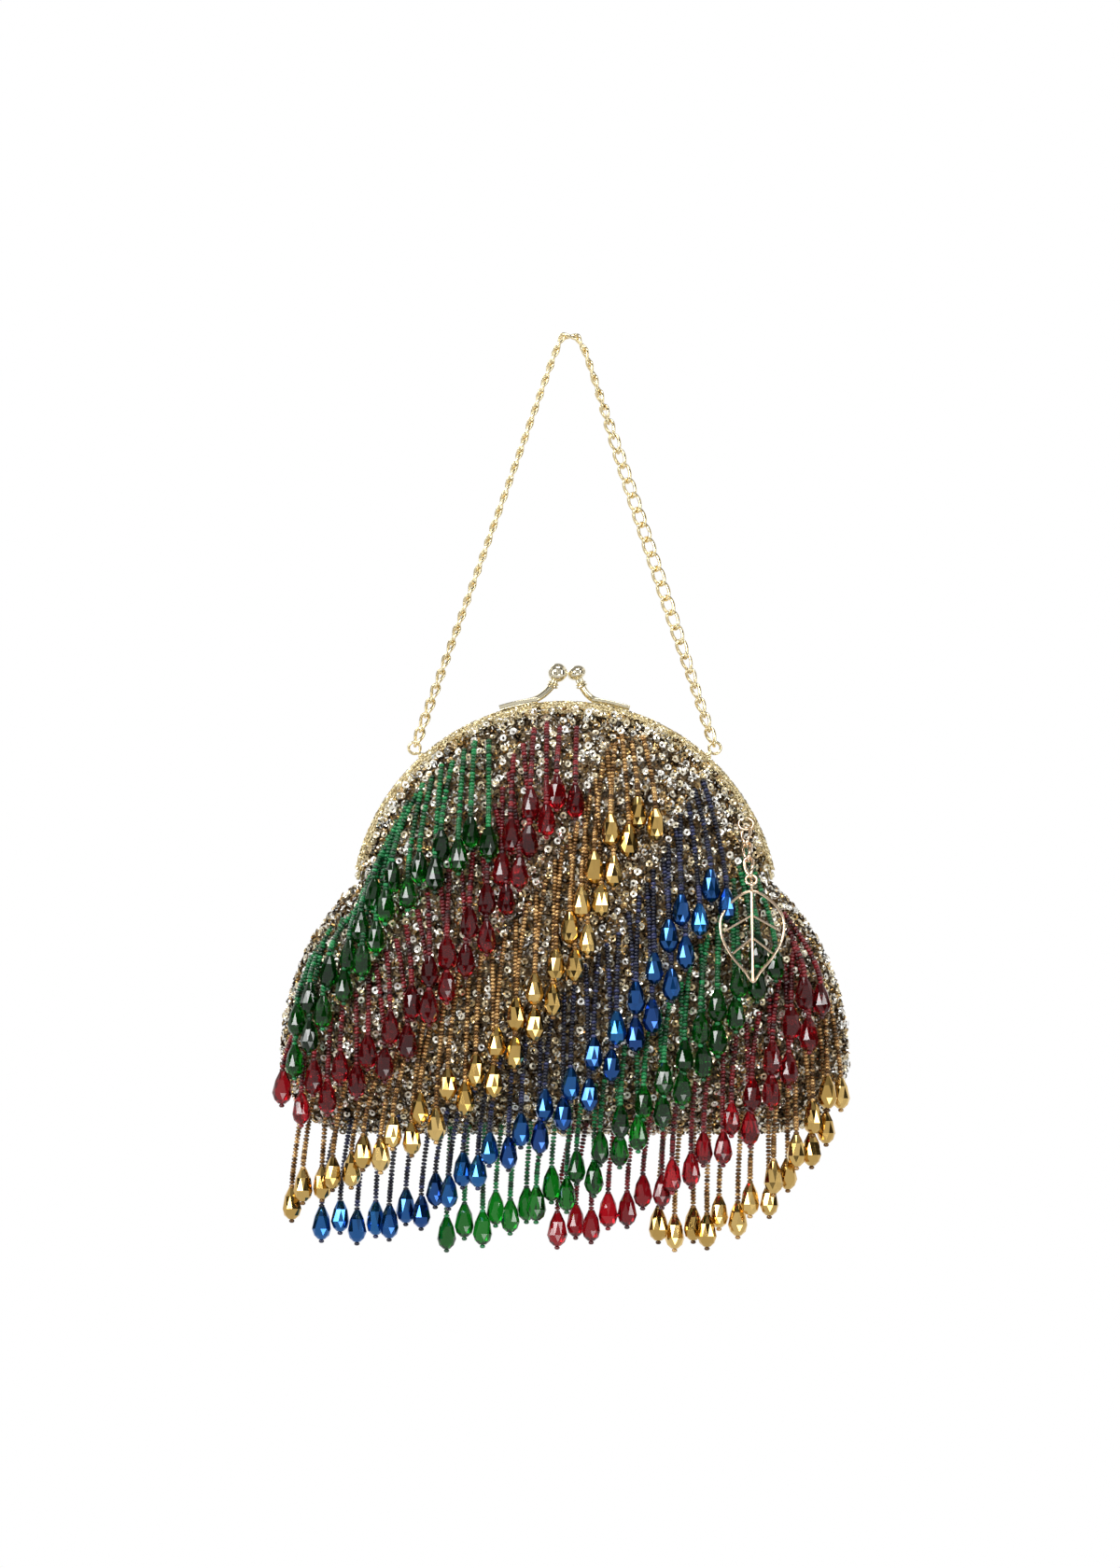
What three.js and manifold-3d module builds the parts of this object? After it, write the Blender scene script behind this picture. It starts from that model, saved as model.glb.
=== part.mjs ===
// A potli bag: a sequinned cloth pouch in an arched kiss-lock frame, with a curb chain handle,
// seven diagonal bands of bead fringe on its front and a wire leaf charm on a short chain.
// Millimetres, +Z up, the front faces -Y. The origin is the top of the chain, where the bag hangs.
import * as THREE from 'three';
import { mergeVertices } from 'three/addons/utils/BufferGeometryUtils.js';
import Module from 'manifold-3d';

const wasm = await Module();
wasm.setup();

// Driving dimensions: fits and walls
const clearance = 0.3; // left between neighbouring pieces
const clothWall = 1.8; // cloth, its lining and the sequin ground together

// Driving dimensions: the arched frame
const handleDrop = 152; // from the top of the chain to the top of the frame
const frameRadius = 88; // outside of the arch
const frameReach = 77.5; // degrees that each leg runs from the top
const frameHeight = 5; // of the channel, along the radius
const frameDepth = 6.2; // of one half, front to back
const frameWall = 1.5; // over the slot that holds the cloth
const tabThickness = 1.2; // of a hinge tab
const tabLength = 3.6; // of a hinge tab, along the arch
const tabOverhang = 2.2; // how far a tab passes the middle plane
const rivetRadius = 0.6;
const rivetHeadRadius = 1.3;
const rivetHeadThickness = 0.8;
const archSteps = 14; // flats that the arch is drawn with

// Driving dimensions: the pouch, measured from the centre of the arch
const pouchHalfWidth = 116;
const pouchHalfDepth = 29.5;
const pouchWidestDrop = 57; // where it is widest
const pouchBottomDrop = 89; // where its flat bottom lies
const pouchCornerWidth = 30; // of the round lower corners

// Driving dimensions: the kiss-lock clasp
const barThickness = 2.4;
const barDepth = 3;
const barStart = 17.4; // degrees from the top of the arch
const barEnd = 7.2;
const neckRadius = 1.1;
const collarRadius = 1.95;
const collarDrop = 5.3; // below the ball's centre
const ballRadius = 3.95;
const ballFlattening = 0.76; // of the right ball, which is a thick button
const ballRise = 12; // of the balls' centres over the top of the arch
const ballOffset = 3.85; // of each ball's centre to its own side
const ballShift = 1; // of both, to the right
const ballCross = 1.6; // of each ball's centre from the middle plane
const headTilt = 22; // degrees that the collars and the balls lean

// Driving dimensions: the chain, its ears and the pins of what stands on the frame
const pinRadius = 0.8;
const pinDepth = 0.8;
const earAngle = 41.9; // degrees from the top of the arch
const earRise = 4.8; // of the ring's centre over the arch
const earRingRadius = 2.4;
const earWireRadius = 0.6;
const earCollarRadius = 1.5;
const earCollarThickness = 0.9;
const linkPitch = 6.45; // about; the links are stretched to fill the chain's length
const linkWidth = 5.8; // over the wire
const linkWireRadius = 0.6;
const strandsMeet = 0.545; // share of the handle's length, on the straight past the top
const linkTwist = 80; // degrees that each curb link is turned, end to end
const linkBite = 0.12; // how deep linked wires sink into each other where they are fused

// Driving dimensions: the bead fringe
const stringRadius = 1;
const dropLength = 13.5;
const dropRadius = 4;
const dropBelly = 0.62; // share of the drop's length at which it is widest
const braidWidth = 3.4; // of the stitched line that each band hangs from
const braidThickness = 2.3;
const braidOverhang = 1.5; // past the first and the last string
const surfaceSlack = 0.95; // keeps flat facets off the rounded cloth

// Driving dimensions: the charm
const eyeletAngle = 61.5; // degrees from the top of the arch
const eyeletDrop = 3.4; // below the outside of the arch
const eyeletStandoff = 0.9; // of its centre from the frame's face
const eyeletRadius = 1.5;
const eyeletWireRadius = 0.5;
const charmDrop = 74.4; // from the eyelet to the end of the line that the charm hangs on
const charmRingRadius = 3;
const charmRingWireRadius = 0.5;
const charmLinkPitch = 8.1;
const charmLinkCount = 3;
const charmEndRingRadius = 2.2;
const charmLoopRadius = 2;
const charmSlack = 0.45; // between the leaf's loop and its ring, which are drawn with flats
const leafLength = 42;
const leafWidth = 26;
const leafWireRadius = 0.6;

// Half depth of the pouch down its middle, as shares of its height and of its half depth.
const sideProfile = [
  { down: 0.03, depth: 0.14 },
  { down: 0.12, depth: 0.42 },
  { down: 0.25, depth: 0.64 },
  { down: 0.4, depth: 0.83 },
  { down: 0.55, depth: 0.95 },
  { down: 0.7, depth: 1 },
  { down: 0.82, depth: 0.95 },
  { down: 0.92, depth: 0.72 },
  { down: 0.975, depth: 0.42 },
  { down: 1, depth: 0 },
];

// How the chain is rolled about its own line, by share of its length from the left ear: 0 shows a link's
// face to the front and 90 its edge. At the ears the wire must run straight through the ear's ring.
const chainRoll = [
  { along: 0, roll: 130 },
  { along: 0.05, roll: 122 },
  { along: 0.12, roll: 104 },
  { along: 0.3, roll: 92 },
  { along: 0.56, roll: 88 },
  { along: 0.66, roll: 30 },
  { along: 0.75, roll: 2 },
  { along: 0.84, roll: 14 },
  { along: 0.93, roll: 58 },
  { along: 1, roll: 50 },
];

// The chain's line at its top, between two straight falls to the ears.
const chainTop = [
  [-3.2, 0, -6.3],
  [-0.8, 0, -1.3],
  [3.2, 0, -0.5],
  [6.6, 0, -3.3],
  [8.6, 0, -8.1],
];

// The line of the charm's chain from its eyelet down over the fringe, in shares of its drop: across to the
// right, down, and how proud of the cloth it hangs.
const charmFall = [
  { across: -0.001, down: 0.120, proud: 0.082 },
  { across: 0.004, down: 0.215, proud: 0.142 },
  { across: 0.015, down: 0.313, proud: 0.187 },
  { across: 0.028, down: 0.403, proud: 0.223 },
  { across: 0.034, down: 1, proud: 0.253 },
];

// Each band of fringe, from its upper right end to its lower left end. A row holds where a string is sewn
// and where its drop hangs. sewnAcross is a share of the pouch's half width at that height, dropAcross a
// share of its widest, and down a share of its height.
const bands = [
  {
    name: 'fringe_green_upper', color: 0x0b5a2c, strips: 8, rows: [
      { sewnAcross: -0.779, sewnDown: 0.088, dropAcross: -0.282, dropDown: 0.308 },
      { sewnAcross: -0.871, sewnDown: 0.122, dropAcross: -0.391, dropDown: 0.338 },
      { sewnAcross: -0.910, sewnDown: 0.175, dropAcross: -0.507, dropDown: 0.399 },
      { sewnAcross: -0.929, sewnDown: 0.222, dropAcross: -0.613, dropDown: 0.429 },
      { sewnAcross: -0.937, sewnDown: 0.285, dropAcross: -0.686, dropDown: 0.521 },
      { sewnAcross: -0.952, sewnDown: 0.369, dropAcross: -0.753, dropDown: 0.616 },
      { sewnAcross: -0.908, sewnDown: 0.455, dropAcross: -0.812, dropDown: 0.655 },
      { sewnAcross: -0.951, sewnDown: 0.51, dropAcross: -0.872, dropDown: 0.69 },
      { sewnAcross: -0.980, sewnDown: 0.59, dropAcross: -0.958, dropDown: 0.803 },
    ],
  },
  {
    name: 'fringe_red_upper', color: 0x7c0f1c, strips: 9, rows: [
      { sewnAcross: 0.181, sewnDown: 0.053, dropAcross: 0.033, dropDown: 0.21 },
      { sewnAcross: -0.375, sewnDown: 0.053, dropAcross: -0.09, dropDown: 0.251 },
      { sewnAcross: -0.417, sewnDown: 0.116, dropAcross: -0.159, dropDown: 0.321 },
      { sewnAcross: -0.397, sewnDown: 0.223, dropAcross: -0.206, dropDown: 0.425 },
      { sewnAcross: -0.472, sewnDown: 0.332, dropAcross: -0.302, dropDown: 0.529 },
      { sewnAcross: -0.631, sewnDown: 0.418, dropAcross: -0.434, dropDown: 0.625 },
      { sewnAcross: -0.662, sewnDown: 0.538, dropAcross: -0.547, dropDown: 0.734 },
      { sewnAcross: -0.728, sewnDown: 0.651, dropAcross: -0.686, dropDown: 0.827 },
      { sewnAcross: -0.855, sewnDown: 0.735, dropAcross: -0.846, dropDown: 0.892 },
      { sewnAcross: -0.948, sewnDown: 0.745, dropAcross: -0.991, dropDown: 0.918 },
    ],
  },
  {
    name: 'fringe_gold_upper', color: 0x9a6b22, strips: 10, rows: [
      { sewnAcross: 0.778, sewnDown: 0.09, dropAcross: 0.305, dropDown: 0.247 },
      { sewnAcross: 0.557, sewnDown: 0.082, dropAcross: 0.189, dropDown: 0.321 },
      { sewnAcross: 0.222, sewnDown: 0.179, dropAcross: 0.103, dropDown: 0.429 },
      { sewnAcross: 0.026, sewnDown: 0.31, dropAcross: 0.017, dropDown: 0.595 },
      { sewnAcross: -0.128, sewnDown: 0.451, dropAcross: -0.123, dropDown: 0.716 },
      { sewnAcross: -0.278, sewnDown: 0.56, dropAcross: -0.255, dropDown: 0.842 },
      { sewnAcross: -0.405, sewnDown: 0.625, dropAcross: -0.421, dropDown: 0.918 },
      { sewnAcross: -0.503, sewnDown: 0.734, dropAcross: -0.567, dropDown: 0.99 },
      { sewnAcross: -0.666, sewnDown: 0.853, dropAcross: -0.729, dropDown: 1.06 },
      { sewnAcross: -0.877, sewnDown: 0.91, dropAcross: -0.862, dropDown: 1.108 },
      { sewnAcross: -0.934, sewnDown: 0.89, dropAcross: -0.958, dropDown: 1.151 },
    ],
  },
  {
    name: 'fringe_blue', color: 0x14307e, strips: 10, rows: [
      { sewnAcross: 0.929, sewnDown: 0.183, dropAcross: 0.567, dropDown: 0.434 },
      { sewnAcross: 0.710, sewnDown: 0.242, dropAcross: 0.441, dropDown: 0.473 },
      { sewnAcross: 0.520, sewnDown: 0.347, dropAcross: 0.368, dropDown: 0.599 },
      { sewnAcross: 0.361, sewnDown: 0.44, dropAcross: 0.282, dropDown: 0.701 },
      { sewnAcross: 0.186, sewnDown: 0.555, dropAcross: 0.166, dropDown: 0.795 },
      { sewnAcross: 0.035, sewnDown: 0.642, dropAcross: 0.023, dropDown: 0.899 },
      { sewnAcross: -0.084, sewnDown: 0.745, dropAcross: -0.099, dropDown: 0.977 },
      { sewnAcross: -0.216, sewnDown: 0.821, dropAcross: -0.249, dropDown: 1.042 },
      { sewnAcross: -0.363, sewnDown: 0.918, dropAcross: -0.388, dropDown: 1.108 },
      { sewnAcross: -0.552, sewnDown: 0.962, dropAcross: -0.524, dropDown: 1.173 },
      { sewnAcross: -0.760, sewnDown: 0.965, dropAcross: -0.706, dropDown: 1.205 },
      { sewnAcross: -0.877, sewnDown: 0.955, dropAcross: -0.852, dropDown: 1.195 },
    ],
  },
  {
    name: 'fringe_green_lower', color: 0x0f6b30, strips: 9, rows: [
      { sewnAcross: 0.942, sewnDown: 0.345, dropAcross: 0.723, dropDown: 0.575 },
      { sewnAcross: 0.872, sewnDown: 0.397, dropAcross: 0.63, dropDown: 0.647 },
      { sewnAcross: 0.641, sewnDown: 0.505, dropAcross: 0.531, dropDown: 0.738 },
      { sewnAcross: 0.486, sewnDown: 0.595, dropAcross: 0.441, dropDown: 0.834 },
      { sewnAcross: 0.344, sewnDown: 0.712, dropAcross: 0.332, dropDown: 0.908 },
      { sewnAcross: 0.233, sewnDown: 0.782, dropAcross: 0.222, dropDown: 0.977 },
      { sewnAcross: 0.118, sewnDown: 0.886, dropAcross: 0.103, dropDown: 1.062 },
      { sewnAcross: 0, sewnDown: 0.945, dropAcross: -0.017, dropDown: 1.116 },
      { sewnAcross: -0.169, sewnDown: 0.97, dropAcross: -0.172, dropDown: 1.175 },
      { sewnAcross: -0.460, sewnDown: 0.975, dropAcross: -0.401, dropDown: 1.214 },
    ],
  },
  {
    name: 'fringe_red_lower', color: 0x8c1020, strips: 7, rows: [
      { sewnAcross: 0.93, sewnDown: 0.494, dropAcross: 0.885, dropDown: 0.66 },
      { sewnAcross: 0.901, sewnDown: 0.564, dropAcross: 0.836, dropDown: 0.764 },
      { sewnAcross: 0.782, sewnDown: 0.647, dropAcross: 0.733, dropDown: 0.853 },
      { sewnAcross: 0.653, sewnDown: 0.742, dropAcross: 0.637, dropDown: 0.947 },
      { sewnAcross: 0.547, sewnDown: 0.799, dropAcross: 0.527, dropDown: 1.021 },
      { sewnAcross: 0.440, sewnDown: 0.89, dropAcross: 0.414, dropDown: 1.077 },
      { sewnAcross: 0.337, sewnDown: 0.95, dropAcross: 0.282, dropDown: 1.136 },
      { sewnAcross: 0.188, sewnDown: 0.97, dropAcross: 0.149, dropDown: 1.19 },
      { sewnAcross: 0.035, sewnDown: 0.978, dropAcross: -0.023, dropDown: 1.216 },
    ],
  },
  {
    name: 'fringe_gold_lower', color: 0xa5772a, strips: 6, rows: [
      { sewnAcross: 0.956, sewnDown: 0.7, dropAcross: 0.971, dropDown: 0.886 },
      { sewnAcross: 0.900, sewnDown: 0.742, dropAcross: 0.899, dropDown: 0.964 },
      { sewnAcross: 0.819, sewnDown: 0.82, dropAcross: 0.832, dropDown: 1.038 },
      { sewnAcross: 0.762, sewnDown: 0.89, dropAcross: 0.733, dropDown: 1.112 },
      { sewnAcross: 0.703, sewnDown: 0.95, dropAcross: 0.63, dropDown: 1.168 },
      { sewnAcross: 0.556, sewnDown: 0.965, dropAcross: 0.487, dropDown: 1.212 },
      { sewnAcross: 0.416, sewnDown: 0.978, dropAcross: 0.332, dropDown: 1.212 },
    ],
  },
];

// Worked out from the driving dimensions
const halfGap = clearance / 2;
const slotMiddle = halfGap + frameDepth / 2; // of the cloth's edge from the middle plane
const slotWidth = clothWall + 2 * clearance;
const slotDepth = frameHeight - frameWall;
const lipRadius = frameRadius - frameWall - clearance; // where the cloth ends inside the channel
const lipReach = frameReach - 0.5;
const mouthRadius = frameRadius - frameHeight - clearance; // where the pouch begins to swell
const mouthEdge = slotMiddle + clothWall / 2; // outside of the cloth at the mouth
const pouchHeight = frameRadius + pouchBottomDrop;
const standRadius = frameRadius + clearance; // underside of what stands on the arch

const radians = THREE.MathUtils.degToRad;
const { lerp } = THREE.MathUtils;
const onArch = (radius, degrees, y = 0) =>
  new THREE.Vector3(radius * Math.sin(radians(degrees)), y, radius * Math.cos(radians(degrees)));
const archAngles = (reach) => Array.from({ length: archSteps + 1 }, (unused, i) =>
  THREE.MathUtils.clamp(lerp(-frameReach, frameReach, i / archSteps), -reach, reach));

// Meshes and solids

// Joins shared vertices, drops empty triangles, and turns a mesh that is inside out.
function weld(geometry) {
  const bare = new THREE.BufferGeometry().setAttribute('position', geometry.getAttribute('position').clone());
  if (geometry.index) bare.setIndex(geometry.index.clone());
  const welded = mergeVertices(bare, 1e-4);
  const { position } = welded.attributes;
  const corners = [0, 1, 2].map(() => new THREE.Vector3());
  const faces = [];
  let volume = 0;
  for (let i = 0; i < welded.index.count; i += 3) {
    const face = [0, 1, 2].map((k) => welded.index.getX(i + k));
    if (new Set(face).size < 3) continue;
    faces.push(face);
    const [a, b, c] = corners.map((corner, k) => corner.fromBufferAttribute(position, face[k]));
    volume += a.dot(b.cross(c));
  }
  welded.setIndex((volume < 0 ? faces.map(([a, b, c]) => [a, c, b]) : faces).flat());
  return welded;
}

function toSolid(geometry) {
  const welded = weld(geometry);
  const mesh = new wasm.Mesh({
    numProp: 3,
    vertProperties: new Float32Array(welded.attributes.position.array),
    triVerts: new Uint32Array(welded.index.array),
  });
  return new wasm.Manifold(mesh);
}

// Joins overlapping meshes into one solid, and cuts the holes out of it.
function fuse(geometries, holes = []) {
  const solid = wasm.Manifold.union(geometries.map(toSolid));
  const mesh = (holes.length ? solid.subtract(wasm.Manifold.union(holes.map(toSolid))) : solid).getMesh();
  const geometry = new THREE.BufferGeometry();
  geometry.setAttribute('position', new THREE.BufferAttribute(new Float32Array(mesh.vertProperties), 3));
  geometry.setIndex(new THREE.BufferAttribute(new Uint32Array(mesh.triVerts), 1));
  return geometry;
}

function piece(name, geometry, material) {
  const mesh = new THREE.Mesh(weld(geometry).toNonIndexed(), material);
  mesh.geometry.computeVertexNormals();
  mesh.name = name;
  return mesh;
}

// A closed body through rings of points, all with the same count. The last ring may be one point, a tip.
function loft(rings) {
  const count = rings[0].length;
  const faces = [];
  for (let k = 0; k + 1 < rings.length; k += 1) {
    const [here, next] = [k * count, (k + 1) * count];
    for (let i = 0; i < count; i += 1) {
      const j = (i + 1) % count;
      if (rings[k + 1].length === 1) faces.push(here + i, here + j, next);
      else faces.push(here + i, here + j, next + j, here + i, next + j, next + i);
    }
  }
  const last = (rings.length - 1) * count;
  for (let i = 1; i + 1 < count; i += 1) {
    faces.push(0, i + 1, i);
    if (rings[rings.length - 1].length > 1) faces.push(last, last + i, last + i + 1);
  }
  const geometry = new THREE.BufferGeometry().setFromPoints(rings.flat());
  geometry.setIndex(faces);
  return geometry;
}

// A matrix that puts +Z along one direction and +X as near as it can to another, at a point.
function placed(at, along, across) {
  const z = along.clone().normalize();
  const x = across.clone().addScaledVector(z, -across.dot(z)).normalize();
  return new THREE.Matrix4().makeBasis(x, new THREE.Vector3().crossVectors(z, x), z).setPosition(at);
}

// A round wire through points.
function wire(points, radius, closed, segments = 4 * points.length, sides = 5) {
  const curve = new THREE.CatmullRomCurve3(points, closed, 'centripetal');
  if (closed) return new THREE.TubeGeometry(curve, segments, radius, sides, true);
  const circle = Array.from({ length: sides }, (unused, i) => new THREE.Vector2(
    radius * Math.cos((2 * Math.PI * i) / sides), radius * Math.sin((2 * Math.PI * i) / sides),
  ));
  return new THREE.ExtrudeGeometry(new THREE.Shape(circle), { steps: segments, extrudePath: curve });
}

// A smooth value between the rows of a table, by one of its columns.
function between(rows, key, value, at) {
  const last = rows.length - 1;
  const found = rows.findIndex((row) => row[key] > at);
  const k = found < 0 ? last - 1 : Math.max(found - 1, 0);
  const span = rows[k + 1][key] - rows[k][key];
  const share = THREE.MathUtils.clamp((at - rows[k][key]) / span, 0, 1);
  const slope = (i) => {
    const [low, high] = [rows[Math.max(i - 1, 0)], rows[Math.min(i + 1, last)]];
    return (high[value] - low[value]) / (high[key] - low[key]);
  };
  const [s2, s3] = [share ** 2, share ** 3];
  return (2 * s3 - 3 * s2 + 1) * rows[k][value] + (s3 - 2 * s2 + share) * span * slope(k)
    + (3 * s2 - 2 * s3) * rows[k + 1][value] + (s3 - s2) * span * slope(k + 1);
}

// Materials
const polished = () => new THREE.MeshStandardMaterial({ color: 0xd9bf7e, roughness: 0.22, metalness: 1 });
const lurex = () => new THREE.MeshStandardMaterial({ color: 0xd8c68e, roughness: 0.45, metalness: 0.8 });
const sequinCloth = () => new THREE.MeshStandardMaterial({ color: 0x9a8558, roughness: 0.4, metalness: 0.6 });

// The pouch's form, about the centre of the arch

const seamTop = onArch(mouthRadius, frameReach + THREE.MathUtils.radToDeg(tabLength / frameRadius));

// The right half of the seam, from under the hinge to the middle of the bottom.
function seamPath() {
  const path = new THREE.Path();
  const flareHeight = seamTop.z + pouchWidestDrop;
  const flareWidth = pouchHalfWidth - seamTop.x;
  path.moveTo(seamTop.x, seamTop.z);
  path.bezierCurveTo(
    seamTop.x + 0.47 * flareWidth, seamTop.z - 0.14 * flareHeight,
    pouchHalfWidth, -pouchWidestDrop + 0.45 * flareHeight,
    pouchHalfWidth, -pouchWidestDrop,
  );
  path.absellipse(
    pouchHalfWidth - pouchCornerWidth, -pouchWidestDrop, pouchCornerWidth, pouchBottomDrop - pouchWidestDrop,
    0, -Math.PI / 2, true,
  );
  path.lineTo(0, -pouchBottomDrop);
  return path;
}
const seamRight = seamPath();
const seamTable = seamRight.getSpacedPoints(80);

// Half the pouch's width at a height.
function halfWidthAt(z) {
  if (z >= seamTop.z) return Math.sqrt(Math.max(mouthRadius ** 2 - z ** 2, 0));
  const k = Math.max(seamTable.findIndex((point) => point.y <= z), 1);
  const [above, below] = [seamTable[k - 1], seamTable[k]];
  const share = (above.y - z) / Math.max(above.y - below.y, 1e-6);
  return lerp(above.x, below.x, Math.min(share, 1));
}

// How far the cloth's outside stands from the middle plane.
function swell(x, z) {
  const down = (frameRadius - z) / pouchHeight;
  const edge = mouthEdge * THREE.MathUtils.smoothstep(z, seamTop.z - tabLength, seamTop.z);
  const middle = Math.max(between(sideProfile, 'down', 'depth', down) * pouchHalfDepth, edge);
  const outward = Math.min(Math.abs(x) / Math.max(halfWidthAt(z), 1e-6), 1);
  return edge + (middle - edge) * (1 - outward ** 2.6) ** 0.6;
}

// How far out a thing hangs that is sewn on higher up: no closer in than the cloth above it.
function hangDepth(x, sewn, z) {
  const steps = 8;
  const heights = Array.from({ length: steps + 1 }, (unused, k) => lerp(Math.max(sewn, z), z, k / steps));
  return Math.max(...heights.map((height) => swell(x, height)));
}

// A closed pillow of two faces, drawn on rays from its middle to the arch and the seam, with rings at shares
// of each ray. inset shrinks it.
function pillow(inset, shares) {
  const steps = [4, 4, 2]; // along the flare, the corner and the bottom
  const right = seamRight.curves.flatMap((curve, k) => curve.getPoints(steps[k]).slice(k ? 1 : 0))
    .map((p) => new THREE.Vector3(p.x, 0, p.y));
  const left = right.slice(0, -1).reverse().map((p) => new THREE.Vector3(-p.x, 0, p.z));
  const mouth = archAngles(frameReach).map((angle) => onArch(mouthRadius, angle));
  const edge = [...mouth, ...right, ...left];
  const points = [];
  const faces = [];
  for (const side of [-1, 1]) {
    points.push(new THREE.Vector3(0, side * (swell(0, 0) - inset), 0));
    for (const share of shares) {
      edge.forEach((point, i) => {
        const at = point.clone().multiplyScalar(share);
        const closed = share === 1 && i >= mouth.length;
        const depth = closed ? 0 : Math.max(swell(at.x, at.z) - inset, 0);
        points.push(at.multiplyScalar(1 - inset / point.length()).setY(side * depth));
      });
    }
  }
  const rays = edge.length;
  const half = points.length / 2;
  const at = (side, ring, ray) => side * half + 1 + ring * rays + (ray % rays);
  const quad = (a, b, c, d) => faces.push(a, b, c, a, c, d);
  const rim = shares.length - 1;
  for (let i = 0; i < rays; i += 1) {
    faces.push(0, at(0, 0, i), at(0, 0, i + 1), half, at(1, 0, i + 1), at(1, 0, i));
    for (let k = 0; k < rim; k += 1) {
      quad(at(0, k, i), at(0, k + 1, i), at(0, k + 1, i + 1), at(0, k, i + 1));
      quad(at(1, k, i), at(1, k, i + 1), at(1, k + 1, i + 1), at(1, k + 1, i));
    }
    quad(at(0, rim, i), at(1, rim, i), at(1, rim, i + 1), at(0, rim, i + 1));
  }
  const geometry = new THREE.BufferGeometry().setFromPoints(points);
  geometry.setIndex(faces);
  return geometry;
}

// A slab that follows the arch, centred on the middle plane.
function archSlab(inner, outer, halfDepth, reach) {
  return loft(archAngles(reach).map((angle) => [
    onArch(inner, angle, -halfDepth), onArch(outer, angle, -halfDepth),
    onArch(outer, angle, halfDepth), onArch(inner, angle, halfDepth),
  ]));
}

// One sewn shell: an outer pillow with a lip up into the frame, less an inner one that opens through the lip.
function makePouch() {
  const rings = [0.45, 0.76, 0.93, 1];
  const outer = [pillow(0, rings), archSlab(mouthRadius - 1, lipRadius, mouthEdge, lipReach)];
  const openEdge = mouthEdge - clothWall;
  const openReach = lipReach - THREE.MathUtils.radToDeg(clothWall / mouthRadius);
  const inner = [
    pillow(clothWall, rings),
    archSlab(mouthRadius - 2 * clothWall, lipRadius + 1, openEdge, openReach),
    archSlab(mouthRadius, lipRadius + 1, openEdge, frameReach),
  ];
  return piece('pouch', fuse(outer, inner), sequinCloth());
}

// The frame

// The arch that a frame half is swept along.
class Arch extends THREE.Curve {
  getPoint(t, target = new THREE.Vector3()) {
    return target.copy(onArch(frameRadius, lerp(-frameReach, frameReach, t)));
  }
}

// Where a leg of the arch ends: x out along the radius, y to the back, z back up the leg.
function legEnd(end) {
  const out = onArch(1, end * frameReach);
  const up = new THREE.Vector3(-end * out.z, 0, end * out.x);
  return new THREE.Matrix4().makeBasis(out, new THREE.Vector3(0, 1, 0), up)
    .setPosition(onArch(frameRadius, end * frameReach));
}

// A box at the end of a leg, between distances out, to the back and down past the end.
function legBox(end, out, back, down) {
  const box = new THREE.BoxGeometry(out[1] - out[0], back[1] - back[0], down[1] - down[0]);
  box.translate((out[0] + out[1]) / 2, (back[0] + back[1]) / 2, -(down[0] + down[1]) / 2);
  return box.applyMatrix4(legEnd(end));
}

const tabDown = [clearance, clearance + tabLength];
const outerTab = [-frameHeight / 2 + halfGap, -frameHeight / 2 + halfGap + tabThickness];
const innerTab = outerTab.map((out) => out - tabThickness - clearance);

// A cylinder on the hinge's line, between two distances out.
function hingeRod(end, radius, out) {
  const rod = new THREE.CylinderGeometry(radius, radius, out[1] - out[0], 8);
  rod.rotateZ(Math.PI / 2).translate((out[0] + out[1]) / 2, 0, -(tabDown[0] + tabDown[1]) / 2);
  return rod.applyMatrix4(legEnd(end));
}

// A pin that stands up out of the arch, over the middle of a frame half's slot.
function archPin(angle, side, radius, depth) {
  const length = depth + 2 * clearance;
  const pin = new THREE.CylinderGeometry(radius, radius, length, 8);
  pin.rotateX(Math.PI / 2).translate(0, 0, frameRadius - depth + length / 2);
  const out = onArch(1, angle);
  return pin.applyMatrix4(placed(new THREE.Vector3(0, side * slotMiddle, 0), out, new THREE.Vector3(0, 1, 0)));
}
const archHole = (angle, side) => archPin(angle, side, pinRadius + clearance, pinDepth + clearance);
const barMiddle = (barStart + barEnd) / 2;

const eyeletAt = onArch(frameRadius - eyeletDrop, eyeletAngle, -(halfGap + frameDepth + eyeletStandoff));

// One half of the frame: a channel for the cloth's edge, with a hinge tab at each end. The front half,
// side -1, carries the charm's eyelet and the left clasp; the back half the ears and the right clasp.
function makeFrameHalf(name, side) {
  const [near, far] = [halfGap, halfGap + frameDepth];
  const [slotNear, slotFar] = [slotMiddle - slotWidth / 2, slotMiddle + slotWidth / 2];
  // In the swept section x runs to the front, and y in along the radius.
  const section = new THREE.Shape([
    [near, 0], [far, 0], [far, frameHeight], [slotFar, frameHeight], [slotFar, frameHeight - slotDepth],
    [slotNear, frameHeight - slotDepth], [slotNear, frameHeight], [near, frameHeight],
  ].map(([x, y]) => new THREE.Vector2(-side * x, y)));
  const parts = [new THREE.ExtrudeGeometry(section, { steps: archSteps, extrudePath: new Arch() })];
  const holes = [archHole(side * barMiddle, side)];
  const tab = side < 0 ? outerTab : innerTab;
  const byDepth = (a, b) => [side * a, side * b].sort((first, second) => first - second);
  for (const end of [-1, 1]) {
    parts.push(
      legBox(end, tab, byDepth(far, -tabOverhang), tabDown),
      legBox(end, tab, byDepth(far, near), [-clearance, 2 * clearance]),
    );
    holes.push(hingeRod(end, rivetRadius + clearance, [-frameHeight, 0]));
    if (side > 0) holes.push(archHole(end * earAngle, side));
  }
  if (side < 0) {
    const eyelet = new THREE.TorusGeometry(eyeletRadius, eyeletWireRadius, 5, 8).rotateY(Math.PI / 2);
    parts.push(eyelet.translate(...eyeletAt));
  }
  return piece(name, fuse(parts, holes), lurex());
}

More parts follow.
